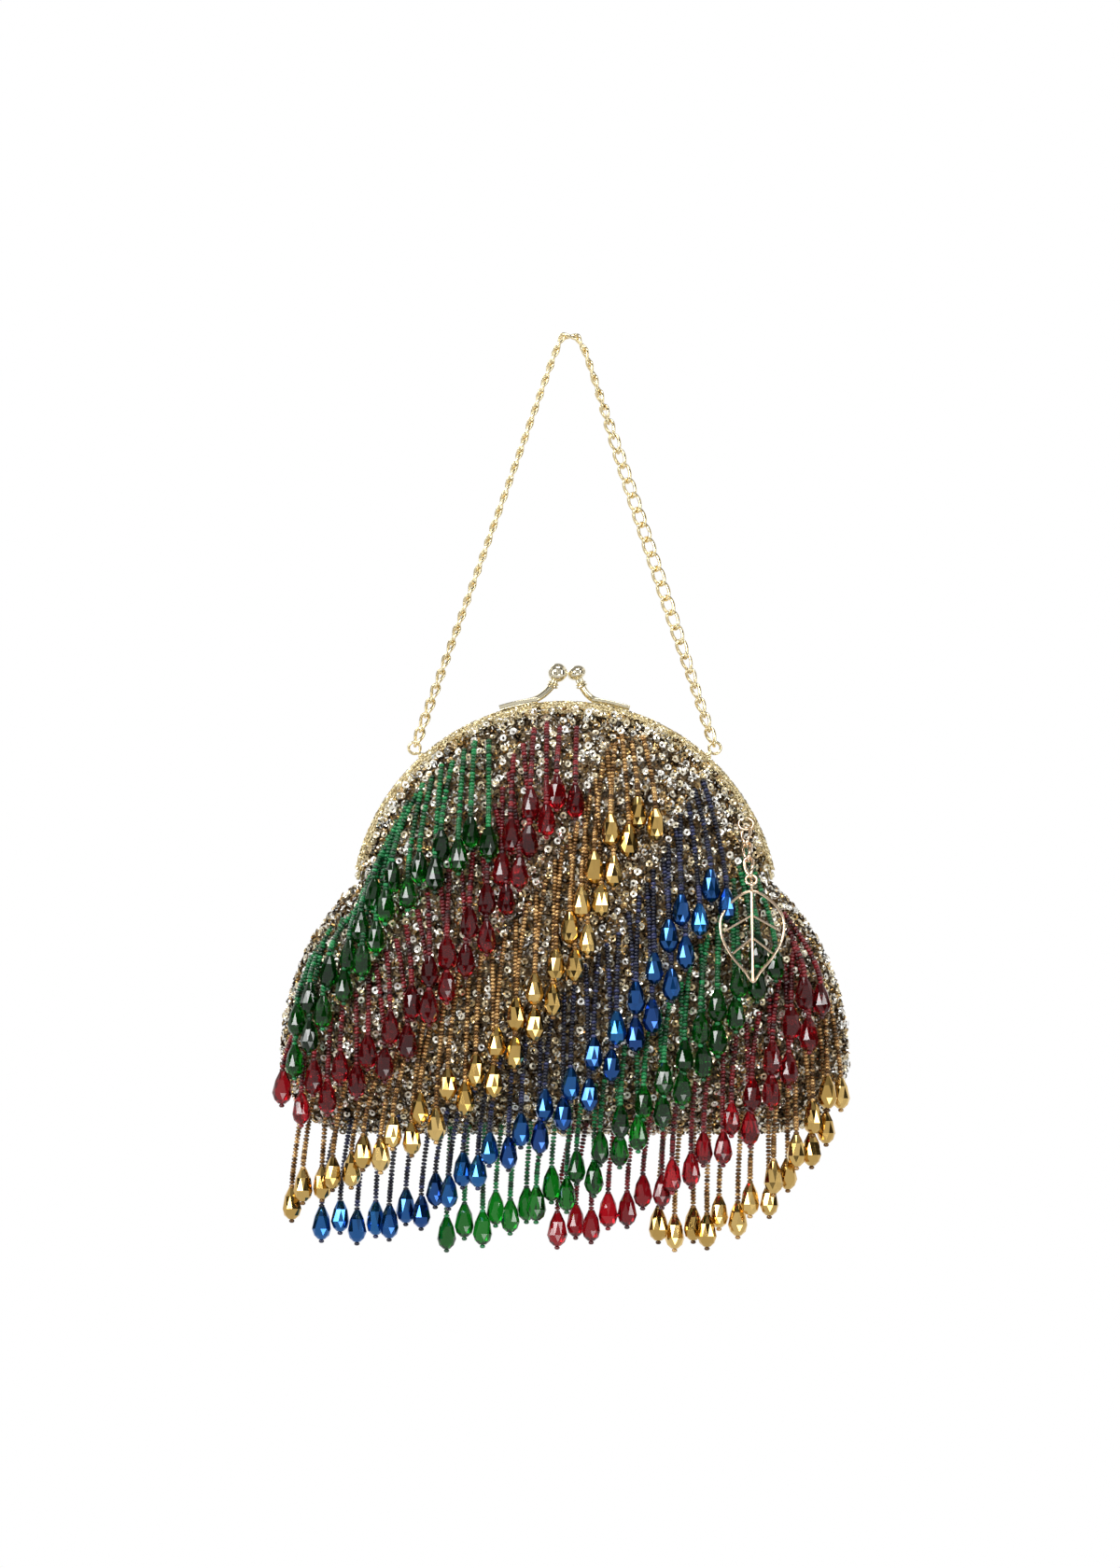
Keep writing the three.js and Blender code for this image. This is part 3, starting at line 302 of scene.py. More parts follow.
class Draft:
    """A mesh that is put together part by part, in millimetres about one origin."""

    def __init__(self) -> None:
        """Starts empty."""
        self.points: list[Array] = []
        self.faces: Faces = []
        self.count = 0

    def add(self, points: Array, faces: Iterable[Sequence[int]], matrix: Array | None = None) -> Draft:
        """Adds points and the faces between them, and returns the draft itself."""
        self.points.append(points if matrix is None else moved(points, matrix))
        self.faces += [tuple(self.count + i for i in face) for face in faces]
        self.count += len(points)
        return self

    def sweep(self, rings: Array, closed: bool = False, capped: bool = True,
              matrix: Array | None = None) -> Draft:
        """Adds a body through rings of points.

        Args:
            rings: Points by ring and by side.
            closed: Whether the last ring joins the first.
            capped: Whether the end rings are filled.
            matrix: Where the body goes.

        Returns:
            The draft itself.
        """
        count, sides = rings.shape[:2]
        faces = walls(count, sides, closed)
        if capped and not closed:
            faces += [tuple(range(sides))[::-1], tuple(range((count - 1) * sides, count * sides))]
        return self.add(rings.reshape(-1, 3), faces, matrix)

    def tube(self, line: Array, radius: Array | float, sides: int = 12, closed: bool = False,
             matrix: Array | None = None) -> Draft:
        """Adds a round wire along a line of points.

        Args:
            line: The points of its middle.
            radius: One radius, or one for each point.
            sides: Sides of its section.
            closed: Whether its end joins its start.
            matrix: Where it goes.

        Returns:
            The draft itself.
        """
        ahead = np.roll(line, -1, 0) if closed else np.concatenate([line[1:], line[-1:]])
        behind = np.roll(line, 1, 0) if closed else np.concatenate([line[:1], line[:-1]])
        headings = unit(ahead - behind)
        across = np.zeros_like(line)
        start = np.eye(3)[np.argmin(np.abs(headings[0]))]
        for k, heading in enumerate(headings):
            start = unit(start - heading * np.dot(start, heading))
            across[k] = start
        if closed:  # spread the twist that is left where the end meets the start
            left = unit(across[-1] - headings[0] * np.dot(across[-1], headings[0]))
            twist = math.atan2(np.dot(np.cross(left, across[0]), headings[0]), np.dot(left, across[0]))
            angles = np.linspace(0, twist, len(line))[:, None]
            across = across * np.cos(angles) + np.cross(headings, across) * np.sin(angles)
        up = np.cross(headings, across)
        angle = full_turn(sides)[None, :, None]
        spread = np.broadcast_to(np.asarray(radius, float), (len(line),))[:, None, None]
        rings = line[:, None] + spread * (np.cos(angle) * across[:, None] + np.sin(angle) * up[:, None])
        return self.sweep(rings, closed, True, matrix)

    def lathe(self, profile: Sequence[Pair], sides: int, matrix: Array | None = None,
              capped: bool = True) -> Draft:
        """Adds a turned body from radii and heights along +Z, closed over its ends where capped."""
        radius, height = np.array(profile, float).T[:, :, None]
        return self.sweep(polar(radius, full_turn(sides), height), capped=capped, matrix=matrix)

    def ring(self, radius: float, wire: float, matrix: Array, steps: int, sides: int) -> Draft:
        """Adds a round wire ring in the XY plane."""
        return self.tube(polar(radius, full_turn(steps)), wire, sides, True, matrix)

    def build(self, name: str, rise: float = 0.0, smooth: float | None = 40.0,
              weld: bool = True) -> bpy.types.Object:
        """Makes the object, in metres.

        Args:
            name: The object's name.
            rise: How far its origin stands over the row's, in millimetres.
            smooth: Degrees under which edges are shaded smooth, or None for flat faces.
            weld: Whether doubled points are joined and the faces turned outwards.

        Returns:
            An object at the origin, with its place in its mesh.
        """
        points = np.concatenate(self.points) + rise * Z_AXIS
        mesh = bpy.data.meshes.new(name)
        mesh.from_pydata((points * MM).tolist(), [], self.faces)
        if weld:
            body = bmesh.new()
            body.from_mesh(mesh)
            bmesh.ops.remove_doubles(body, verts=body.verts, dist=1e-7)
            bmesh.ops.dissolve_degenerate(body, edges=body.edges, dist=1e-7)
            bmesh.ops.recalc_face_normals(body, faces=body.faces)
            body.to_mesh(mesh)
            body.free()
        mesh.polygons.foreach_set("use_smooth", [smooth is not None] * len(mesh.polygons))
        if smooth is not None:
            mesh.set_sharp_from_angle(angle=math.radians(smooth))
        return linked(name, mesh)


# Node trees


class Term:
    """A value that a node works out. Plain sums and products of it add the nodes that do them."""

    def __init__(self, wiring: Wiring, socket: bpy.types.NodeSocket) -> None:
        """Wraps an output socket."""
        self.wiring = wiring
        self.socket = socket

    def beside(self, name: str) -> Term:
        """Another output of the same node."""
        return Term(self.wiring, self.socket.node.outputs[name])

    def __add__(self, other: Value) -> Term:
        """The sum."""
        return self.wiring.pair("ShaderNodeMath", "ADD", self, other)

    def __mul__(self, other: Value) -> Term:
        """The product."""
        return self.wiring.pair("ShaderNodeMath", "MULTIPLY", self, other)

    __radd__, __rmul__ = __add__, __mul__


class Wiring:
    """A node tree that is drawn in code."""

    def __init__(self, tree: bpy.types.NodeTree) -> None:
        """Takes the tree."""
        self.tree = tree

    def feed(self, socket: bpy.types.NodeSocket, value: Value) -> None:
        """Links a term to a socket, or sets a plain value on it."""
        if isinstance(value, Term):
            self.tree.links.new(value.socket, socket)
        else:
            socket.default_value = value

    def pair(self, kind: str, operation: str, first: Value, second: Value) -> Term:
        """What an operation makes of two values, or of two vectors."""
        node = self.tree.nodes.new(kind)
        node.operation = operation
        for socket, value in zip(node.inputs, (first, second)):
            self.feed(socket, value)
        return Term(self, node.outputs[0])

    def node(self, kind: str, output: str = "", settings: dict[str, object] | None = None,
             stops: Stops = (), **values: Value) -> Term:
        """Adds a node.

        Args:
            kind: Its type.
            output: The name of the output that is wanted, or none for the first.
            settings: Properties that are set before its sockets.
            stops: Places and colours, for a colour ramp.
            **values: Values or terms by socket name, with _ for a space.

        Returns:
            The wanted output.
        """
        node = self.tree.nodes.new(kind)
        for key, value in (settings or {}).items():
            setattr(node, key, value)
        if stops:
            marks = node.color_ramp.elements
            while len(marks) < len(stops):
                marks.new(1.0)
            for mark, (place, colour) in zip(marks, stops):
                mark.position, mark.color = place, (*colour, 1.0)
        for key, value in values.items():
            words = key.replace("_", " ")
            self.feed(next(s for s in node.inputs if s.name == words and s.enabled), value)
        return Term(self, next(s for s in node.outputs if s.enabled and output in ("", s.name)))


class Growth(Wiring):
    """A geometry nodes tree that sets copies of one unit and is then grown into a plain mesh."""

    def __init__(self, name: str) -> None:
        """Makes a tree with one geometry in and one out, and inputs for the unit and its finish."""
        super().__init__(bpy.data.node_groups.new(name, "GeometryNodeTree"))
        for way in ("INPUT", "OUTPUT"):
            self.tree.interface.new_socket("Geometry", in_out=way, socket_type="NodeSocketGeometry")
        self.entry = self.tree.nodes.new("NodeGroupInput")
        self.names: dict[str, str] = {}
        self.source = Term(self, self.entry.outputs["Geometry"])
        self.own, self.finish = self.given("Unit", "Object"), self.given("Finish", "Material")

    def given(self, name: str, kind: str = "Float") -> Term:
        """Adds a named input of the tree."""
        made = self.tree.interface.new_socket(name, in_out="INPUT", socket_type=f"NodeSocket{kind}")
        self.names[name] = made.identifier
        return Term(self, self.entry.outputs[name])

    def random(self, low: Value, high: Value, seed: Term, offset: int, kind: str = "FLOAT") -> Term:
        """A random value for each point, from the tree's seed and a fixed offset."""
        return self.node("FunctionNodeRandomValue", "", {"data_type": kind}, Min=low, Max=high,
                         Seed=seed + offset)

    def copies(self, points: Term, turn: Term, size: Term) -> Term:
        """The unit at each point."""
        held = self.node("GeometryNodeObjectInfo", "Geometry", Object=self.own, As_Instance=True)
        return self.node("GeometryNodeInstanceOnPoints", Points=points, Instance=held, Rotation=turn,
                         Scale=size)

    def close(self, copies: Term) -> Growth:
        """Ends the tree: the copies are made real and take their finish."""
        real = self.node("GeometryNodeRealizeInstances", Geometry=copies)
        dressed = self.node("GeometryNodeSetMaterial", Geometry=real, Material=self.finish)
        self.feed(self.tree.nodes.new("NodeGroupOutput").inputs[0], dressed)
        return self

    def close_at_random(self, points: Term, upright: Term, lean: Term, smallest: Term, seed: Term,
                        offset: int) -> Growth:
        """Ends the tree with copies that are tilted, sized and toned at random.

        Args:
            points: Where they go.
            upright: The turn of one that isn't tilted.
            lean: The most that one is tilted either way, in radians. Each is also turned about itself.
            smallest: The size of the smallest, as a share of the unit's.
            seed: The tree's seed.
            offset: The first offset from the seed that is free.

        Returns:
            The tree.
        """
        sway = self.random((-1.0, -1.0, -1.0), (1.0, 1.0, 1.0), seed, offset, "FLOAT_VECTOR")
        reach = self.node("ShaderNodeCombineXYZ", X=lean, Y=lean, Z=math.pi)
        angles = self.pair("ShaderNodeVectorMath", "MULTIPLY", sway, reach)
        tilt = self.node("FunctionNodeEulerToRotation", Euler=angles)
        turn = self.node("FunctionNodeRotateRotation", "", {"rotation_space": "LOCAL"}, Rotation=upright,
                         Rotate_By=tilt)
        strewn = self.copies(points, turn, self.random(smallest, 1.0, seed, offset + 1))
        toned = self.node("GeometryNodeStoreNamedAttribute", "", {"data_type": "FLOAT", "domain": "INSTANCE"},
                          Geometry=strewn, Name="tone", Value=self.random(0.0, 1.0, seed, offset + 2))
        return self.close(toned)

    def grow(self, source: bpy.types.Object, name: str, **values: object) -> bpy.types.Object:
        """Grows the tree on an object.

        Args:
            source: The object it grows on, which is removed afterwards, as the unit is.
            name: The new object's name.
            **values: The tree's inputs by name.

        Returns:
            A plain mesh object at the origin.
        """
        modifier = source.modifiers.new("growth", "NODES")
        modifier.node_group = self.tree
        for key, value in values.items():
            modifier[self.names[key]] = value
        graph = bpy.context.evaluated_depsgraph_get()
        mesh = bpy.data.meshes.new_from_object(source.evaluated_get(graph), preserve_all_data_layers=True,
                                               depsgraph=graph)
        source.modifiers.remove(modifier)
        mesh.name = name
        made = linked(name, mesh)
        drop_object(source)
        drop_object(values["Unit"])
        return made


def scatter_tree() -> Growth:
    """Units strewn over a surface at a least spacing, lying on it and tilted at random."""
    growth = Growth("strewn over cloth")
    spacing, density, lift, lean, smallest = map(
        growth.given, ("Spacing", "Density", "Lift", "Lean", "Smallest"))
    seed = growth.given("Seed", "Int")
    points = growth.node("GeometryNodeDistributePointsOnFaces", "Points", {"distribute_method": "POISSON"},
                         Mesh=growth.source, Distance_Min=spacing, Density_Max=density, Seed=seed)
    out = growth.node("ShaderNodeVectorMath", "", {"operation": "SCALE"}, Vector=points.beside("Normal"),
                      Scale=lift * growth.random(0.3, 1.0, seed, 1))
    raised = growth.node("GeometryNodeSetPosition", Geometry=points, Offset=out)
    return growth.close_at_random(raised, points.beside("Rotation"), lean, smallest, seed, 2)


def string_tree() -> Growth:
    """Units threaded one after another along lines."""
    growth = Growth("threaded on strings")
    pitch, smallest, wobble = map(growth.given, ("Pitch", "Smallest", "Wobble"))
    seed = growth.given("Seed", "Int")
    curve = growth.node("GeometryNodeMeshToCurve", Mesh=growth.source)
    spaced = growth.node("GeometryNodeResampleCurve", "", {"mode": "LENGTH"}, Curve=curve, Length=pitch)
    threaded = growth.node("FunctionNodeAlignRotationToVector", "", {"axis": "Z"},
                           Vector=growth.node("GeometryNodeInputTangent"))
    return growth.close_at_random(spaced, threaded, wobble, smallest, seed, 1)


def setting_tree() -> Growth:
    """Units set one by one at points that carry their turn, their size and their tone."""
    growth = Growth("set one by one")
    turn, size = (growth.node("GeometryNodeInputNamedAttribute", "", {"data_type": kind}, Name=name)
                  for name, kind in (("turn", "QUATERNION"), ("size", "FLOAT_VECTOR")))
    return growth.close(growth.copies(growth.source, turn, size))


class Setting(NamedTuple):
    """Where one unit goes: a frame in millimetres, its size along its own axes, and its tone."""

    matrix: Array
    size: Triple
    tone: float


def bare_object(name: str, points: Array, edges: Sequence[tuple[int, int]], rise: float) -> bpy.types.Object:
    """An object of points in millimetres and the edges between them, without faces."""
    mesh = bpy.data.meshes.new(name)
    mesh.from_pydata(((points + rise * Z_AXIS) * MM).tolist(), edges, [])
    return linked(name, mesh)


def set_units(tree: Growth, unit_shape: bpy.types.Object, name: str, finish: bpy.types.Material,
              settings: Sequence[Setting], rise: float) -> bpy.types.Object:
    """Sets copies of a shape one by one.

    Args:
        tree: The tree of setting_tree.
        unit_shape: The shape, about its own origin. It is removed afterwards.
        name: The new object's name.
        finish: Its material.
        settings: One for each copy.
        rise: How far the settings' origin stands over the row's, in millimetres.

    Returns:
        The copies as one mesh object.
    """
    holder = bare_object(name, np.array([s.matrix[:3, 3] for s in settings]), [], rise)
    turns = [tuple(Matrix(s.matrix.tolist()).to_quaternion()) for s in settings]
    for key, kind, field, values in (("turn", "QUATERNION", "value", turns),
                                     ("size", "FLOAT_VECTOR", "vector", [s.size for s in settings]),
                                     ("tone", "FLOAT", "value", [s.tone for s in settings])):
        layer = holder.data.attributes.new(key, kind, "POINT")
        layer.data.foreach_set(field, np.ravel(values))
    return tree.grow(holder, name, Unit=unit_shape, Finish=finish)


def line_object(name: str, lines: Sequence[Array], rise: float) -> bpy.types.Object:
    """An object of bare edges along lines of points in millimetres."""
    edges: list[tuple[int, int]] = []
    count = 0
    for line in lines:
        edges += [(count + i, count + i + 1) for i in range(len(line) - 1)]
        count += len(line)
    return bare_object(name, np.concatenate(lines), edges, rise)


# Finishes


class Recipe(Wiring):
    """A material that is mixed in code."""

    def __init__(self, name: str) -> None:
        """Makes a material with one surface shader."""
        self.material = bpy.data.materials.new(name)
        self.material.use_nodes = True
        super().__init__(self.material.node_tree)
        self.surface = next(n for n in self.tree.nodes if n.type == "BSDF_PRINCIPLED")

    def place(self) -> Term:
        """The place on the object, in metres."""
        return self.node("ShaderNodeTexCoord", "Object")

    def noise(self, scale: float, detail: float) -> Term:
        """A soft noise in space. The scale is in patches to the metre."""
        return self.node("ShaderNodeTexNoise", "Fac", Vector=self.place(), Scale=scale, Detail=detail)

    def tone(self) -> Term:
        """The tone that each small unit was given."""
        return self.node("ShaderNodeAttribute", "Fac", {"attribute_name": "tone"})

    def dress(self, **values: Value) -> bpy.types.Material:
        """Sets the surface's inputs by name, with _ for a space, and returns the material."""
        for key, value in values.items():
            self.feed(self.surface.inputs[key.replace("_", " ")], value)
        return self.material


@dataclass(frozen=True)
class Finish:
    """A finish whose colour runs through stops, by each unit's tone or by a noise in space.

    Colours are linear. grain is the noise's scale in patches to the metre, or 0 where units have a tone.
    """

    name: str
    stops: Stops
    metallic: float = 0.0
    roughness: float = 0.3
    coat: float = 0.0
    clear: float = 0.0
    grain: float = 0.0
    relief: float = 0.0

    @cache
    def mix(self) -> bpy.types.Material:
        """The material, made once."""
        recipe = Recipe(self.name)
        shade = recipe.noise(self.grain, 3.0) if self.grain else recipe.tone()
        colour = recipe.node("ShaderNodeValToRGB", "Color", stops=self.stops, Fac=shade)
        rough = ROUGH_LEAST * self.roughness + ROUGH_SPREAD * self.roughness * shade
        material = recipe.dress(Base_Color=colour, Metallic=self.metallic, Transmission_Weight=self.clear,
                                Coat_Weight=self.coat, Coat_Roughness=0.04, IOR=GLASS_BEND, Roughness=rough)
        if self.relief:
            height = recipe.noise(RELIEF_SCALE * self.grain, 2.0)
            recipe.dress(Normal=recipe.node("ShaderNodeBump", "Normal", Strength=self.relief,
                                            Distance=RELIEF_HEIGHT, Height=height))
        return material


def metal(name: str, dark: Colour, light: Colour, roughness: float) -> Finish:
    """A polished plating, whose colour drifts a little from place to place."""
    return Finish(name, ((0.0, dark), (1.0, light)), metallic=1.0, roughness=roughness, grain=60.0)


# Mostly near black: partly the dark cloth itself, partly painted shade of the ground between the sequins.
CLOTH_AND_PAINTED_SHADE = Finish("sequin cloth ground", (
    (0.3, (0.012, 0.008, 0.005)), (0.5, (0.09, 0.055, 0.022)), (0.64, (0.32, 0.22, 0.1)),
    (0.8, (0.03, 0.02, 0.012))), roughness=0.6, metallic=0.3, grain=900.0, relief=0.8)
# The near-black tones at the dark end are painted shadow among the tilted sequins; the brown, gold, champagne
# and silver tones are the sequins' own colours.
SEQUINS_AND_PAINTED_SHADOW = Finish("sequins", (
    (0.0, (0.03, 0.016, 0.006)), (0.2, (0.09, 0.05, 0.018)), (0.34, (0.6, 0.38, 0.13)),
    (0.48, (0.9, 0.74, 0.42)), (0.6, (1.0, 0.97, 0.85)), (1.0, (1.0, 1.0, 0.97))),
    metallic=0.92, roughness=0.17)
FLAT_SEQUINS = Finish("flat sequins", (
    (0.0, (0.5, 0.34, 0.14)), (0.4, (0.9, 0.8, 0.56)), (1.0, (1.0, 1.0, 0.97))), metallic=0.7, roughness=0.24)
CRUMBS = Finish("crumbs", (
    (0.0, (0.006, 0.005, 0.004)), (0.28, (0.02, 0.012, 0.007)), (0.38, (0.35, 0.16, 0.04)),
    (0.48, (0.86, 0.52, 0.17)), (0.58, (0.98, 0.94, 0.84)), (1.0, (1.0, 1.0, 0.98))),
    metallic=0.7, roughness=0.22)
LUREX = Finish("woven gold strip", (
    (0.3, (0.26, 0.18, 0.07)), (0.5, (0.66, 0.54, 0.29)), (0.7, (0.9, 0.83, 0.6))),
    metallic=0.9, roughness=0.3, grain=1500.0, relief=0.9)
SCALES = Finish("gold scales", (
    (0.0, (0.3, 0.21, 0.08)), (0.5, (0.76, 0.63, 0.35)), (1.0, (0.97, 0.9, 0.7))),
    metallic=1.0, roughness=0.2)
CLASP_PLATE = metal("clasp plating", (0.74, 0.66, 0.46), (0.86, 0.79, 0.6), 0.1)
CHAIN_PLATE = metal("chain plating", (0.82, 0.66, 0.36), (0.92, 0.8, 0.52), 0.13)
ROSE_PLATE = metal("charm plating", (0.84, 0.62, 0.42), (0.92, 0.74, 0.56), 0.12)
# Each glass runs at random from a dark to a light tone. This is partly the beads' own colour and partly
# painted highlight and shade: lighter and darker beads stand in for highlights too small to render.
BEADS_AND_PAINTED_HIGHLIGHTS = {
    Hue.GREEN: Finish("green seed glass", (
        (0.0, (0.001, 0.025, 0.007)), (0.5, (0.003, 0.12, 0.03)), (1.0, (0.012, 0.29, 0.08))),
        roughness=0.1, coat=0.4, clear=0.15),
    Hue.RED: Finish("red seed glass", (
        (0.0, (0.022, 0.001, 0.002)), (0.5, (0.12, 0.003, 0.006)), (1.0, (0.27, 0.01, 0.016))),
        roughness=0.1, coat=0.4, clear=0.1),
    Hue.GOLD: Finish("bronze seed glass", (
        (0.0, (0.07, 0.03, 0.008)), (0.5, (0.3, 0.155, 0.045)), (1.0, (0.72, 0.47, 0.2))),
        metallic=0.75, roughness=0.18, coat=0.3),
    Hue.BLUE: Finish("navy seed glass", (
        (0.0, (0.002, 0.002, 0.006)), (0.6, (0.007, 0.009, 0.026)), (1.0, (0.04, 0.05, 0.14))),
        metallic=0.3, roughness=0.14, coat=0.4),
}
DROPS = {
    Hue.GREEN: Finish("green drop glass", ((0.0, (0.001, 0.07, 0.004)), (1.0, (0.006, 0.22, 0.012))),
                      roughness=0.0, clear=0.94),
    Hue.RED: Finish("red drop glass", ((0.0, (0.17, 0.003, 0.006)), (1.0, (0.4, 0.006, 0.012))),
                    roughness=0.0, clear=0.9),
    Hue.GOLD: Finish("gold mirror coat", ((0.0, (0.56, 0.35, 0.09)), (1.0, (0.8, 0.55, 0.19))),
                     metallic=1.0, roughness=0.1, coat=0.4),
    Hue.BLUE: Finish("blue mirror coat", ((0.0, (0.003, 0.05, 0.24)), (1.0, (0.008, 0.13, 0.38))),
                     metallic=0.95, roughness=0.09, coat=0.6),
}


# The pouch


@dataclass(frozen=True)
class PouchForm:
    """The pouch's outline and how far it swells, in millimetres about the centre of the arch."""

    top: float = 88.0
    mouth_radius: float = 82.7
    mouth_edge: float = 4.15
    lip_radius: float = 86.2
    lip_reach: float = 77.0
    mouth_reach: float = 77.5
    hinge_gap: float = 3.6
    half_width: float = 116.0
    half_depth: float = 29.5
    widest_drop: float = 57.0
    bottom_drop: float = 89.0
    corner_width: float = 30.0
    flank: Triple = (0.47, 0.14, 0.45)  # where the handles of the side's curve stand
    fullness: Pair = (2.6, 0.6)  # the exponents of the swell from side to side
    side_profile: SmoothTable = SmoothTable((
        (0.03, 0.14), (0.12, 0.42), (0.25, 0.64), (0.4, 0.83), (0.55, 0.95), (0.7, 1.0), (0.82, 0.95),
        (0.92, 0.72), (0.975, 0.42), (1.0, 0.0)))

    @property
    def height(self) -> float:
        """From the top of the frame to the bottom of the pouch."""
        return self.top + self.bottom_drop

    @cached_property
    def seam(self) -> Array:
        """The right half of the seam, from under the hinge to the middle of the bottom, as X and Z."""
        angle = self.mouth_reach + math.degrees(self.hinge_gap / self.top)
        x, _, z = on_arch(self.mouth_radius, angle)
        drop, flare = z + self.widest_drop, self.half_width - x
        out, down, up = self.flank
        side = bezier([(x, z), (x + out * flare, z - down * drop),
                       (self.half_width, up * drop - self.widest_drop),
                       (self.half_width, -self.widest_drop)], 41)
        turn = np.linspace(0, math.pi / 2, 21)[1:]
        flat = self.half_width - self.corner_width
        corner = np.stack([flat + self.corner_width * np.cos(turn),
                           -self.widest_drop - (self.bottom_drop - self.widest_drop) * np.sin(turn)], -1)
        across = np.linspace(flat, 0, 13)[1:]
        return np.concatenate([side, corner, np.stack([across, 0 * across - self.bottom_drop], -1)])

    def half_width_at(self, z: Array | float) -> Array:
        """Half the width at a height."""
        arch = np.sqrt(np.maximum(self.mouth_radius ** 2 - np.square(z), 0))
        rim = self.seam[:-12]  # without the flat bottom
        return np.where(np.asarray(z) >= rim[0, 1], arch, np.interp(-np.asarray(z), -rim[:, 1], rim[:, 0]))

    def swell(self, x: Array | float, z: Array | float) -> Array:
        """How far the outside of the cloth stands from the middle plane."""
        near = np.clip((z - self.seam[0, 1] + self.hinge_gap) / self.hinge_gap, 0, 1)
        edge = self.mouth_edge * near * near * (3 - 2 * near)
        down = (self.top - np.asarray(z, float)) / self.height
        middle = np.maximum(self.side_profile.at(down) * self.half_depth, edge)
        out = np.minimum(np.abs(x) / np.maximum(self.half_width_at(z), 1e-6), 1)
        wide, steep = self.fullness
        return edge + (middle - edge) * (1 - out ** wide) ** steep

    def hang_depth(self, x: Array | float, sewn: float, z: Array | float) -> Array:
        """How far out a thing hangs that is sewn on higher up: no closer in than the cloth above it."""
        share = np.linspace(0, 1, 17)
        heights = np.maximum(sewn, z)[..., None] * (1 - share) + np.asarray(z)[..., None] * share
        return self.swell(np.asarray(x)[..., None], heights).max(-1)

    def sheet(self, face: Face, shares: Sequence[float], mouth: float = 0.0,
              beyond: Sequence[Pair] = ()) -> tuple[Array, Faces]:
        """One face of the cloth, as a grid on rays from its middle.

        Args:
            face: The front or the back.
            shares: Shares of each ray, at which the rings of the grid lie.
            mouth: How far short of the mouth the rays stop.
            beyond: Radii and depths of more rings past the mouth.

        Returns:
            Points and faces that point outwards.
        """
        angles = np.linspace(-self.mouth_reach, self.mouth_reach, 97)
        arch = on_arch(self.mouth_radius - mouth, angles)
        right = np.insert(self.seam, 1, 0.0, axis=1)
        edge = np.concatenate([arch, right, right[-2::-1] * (-1, 1, 1)])
        points = [np.array([[0.0, self.swell(0.0, 0.0), 0.0]])]
        for share in shares:
            ring = edge * share
            ring[:, 1] = self.swell(ring[:, 0], ring[:, 2])
            if share == 1:
                ring[len(arch):, 1] = 0.0
            points.append(ring)
        rays = len(edge)
        faces: Faces = [(0, 1 + (i + 1) % rays, 1 + i) for i in range(rays)]
        faces += walls(len(shares), rays, first=1)
        below = 1 + (len(shares) - 1) * rays
        count = 1 + len(shares) * rays
        for radius, depth in beyond:
            points.append(on_arch(radius, np.clip(angles, -self.lip_reach, self.lip_reach), depth))
            for i in range(len(angles) - 1):
                faces.append((below + i, below + i + 1, count + i + 1, count + i))
            below, count = count, count + len(angles)
        grid = np.concatenate(points)
        if face is Face.FRONT:
            return grid * (1, -1, 1), faces
        return grid, [tuple(reversed(each)) for each in faces]


class Lot(NamedTuple):
    """How one kind of unit is strewn over the cloth.

    Spacing and lift are in millimetres, lean is in radians, and smallest is a share of the full size.
    """

    name: str
    finish: Finish
    spacing: float
    lift: float
    lean: float
    smallest: float


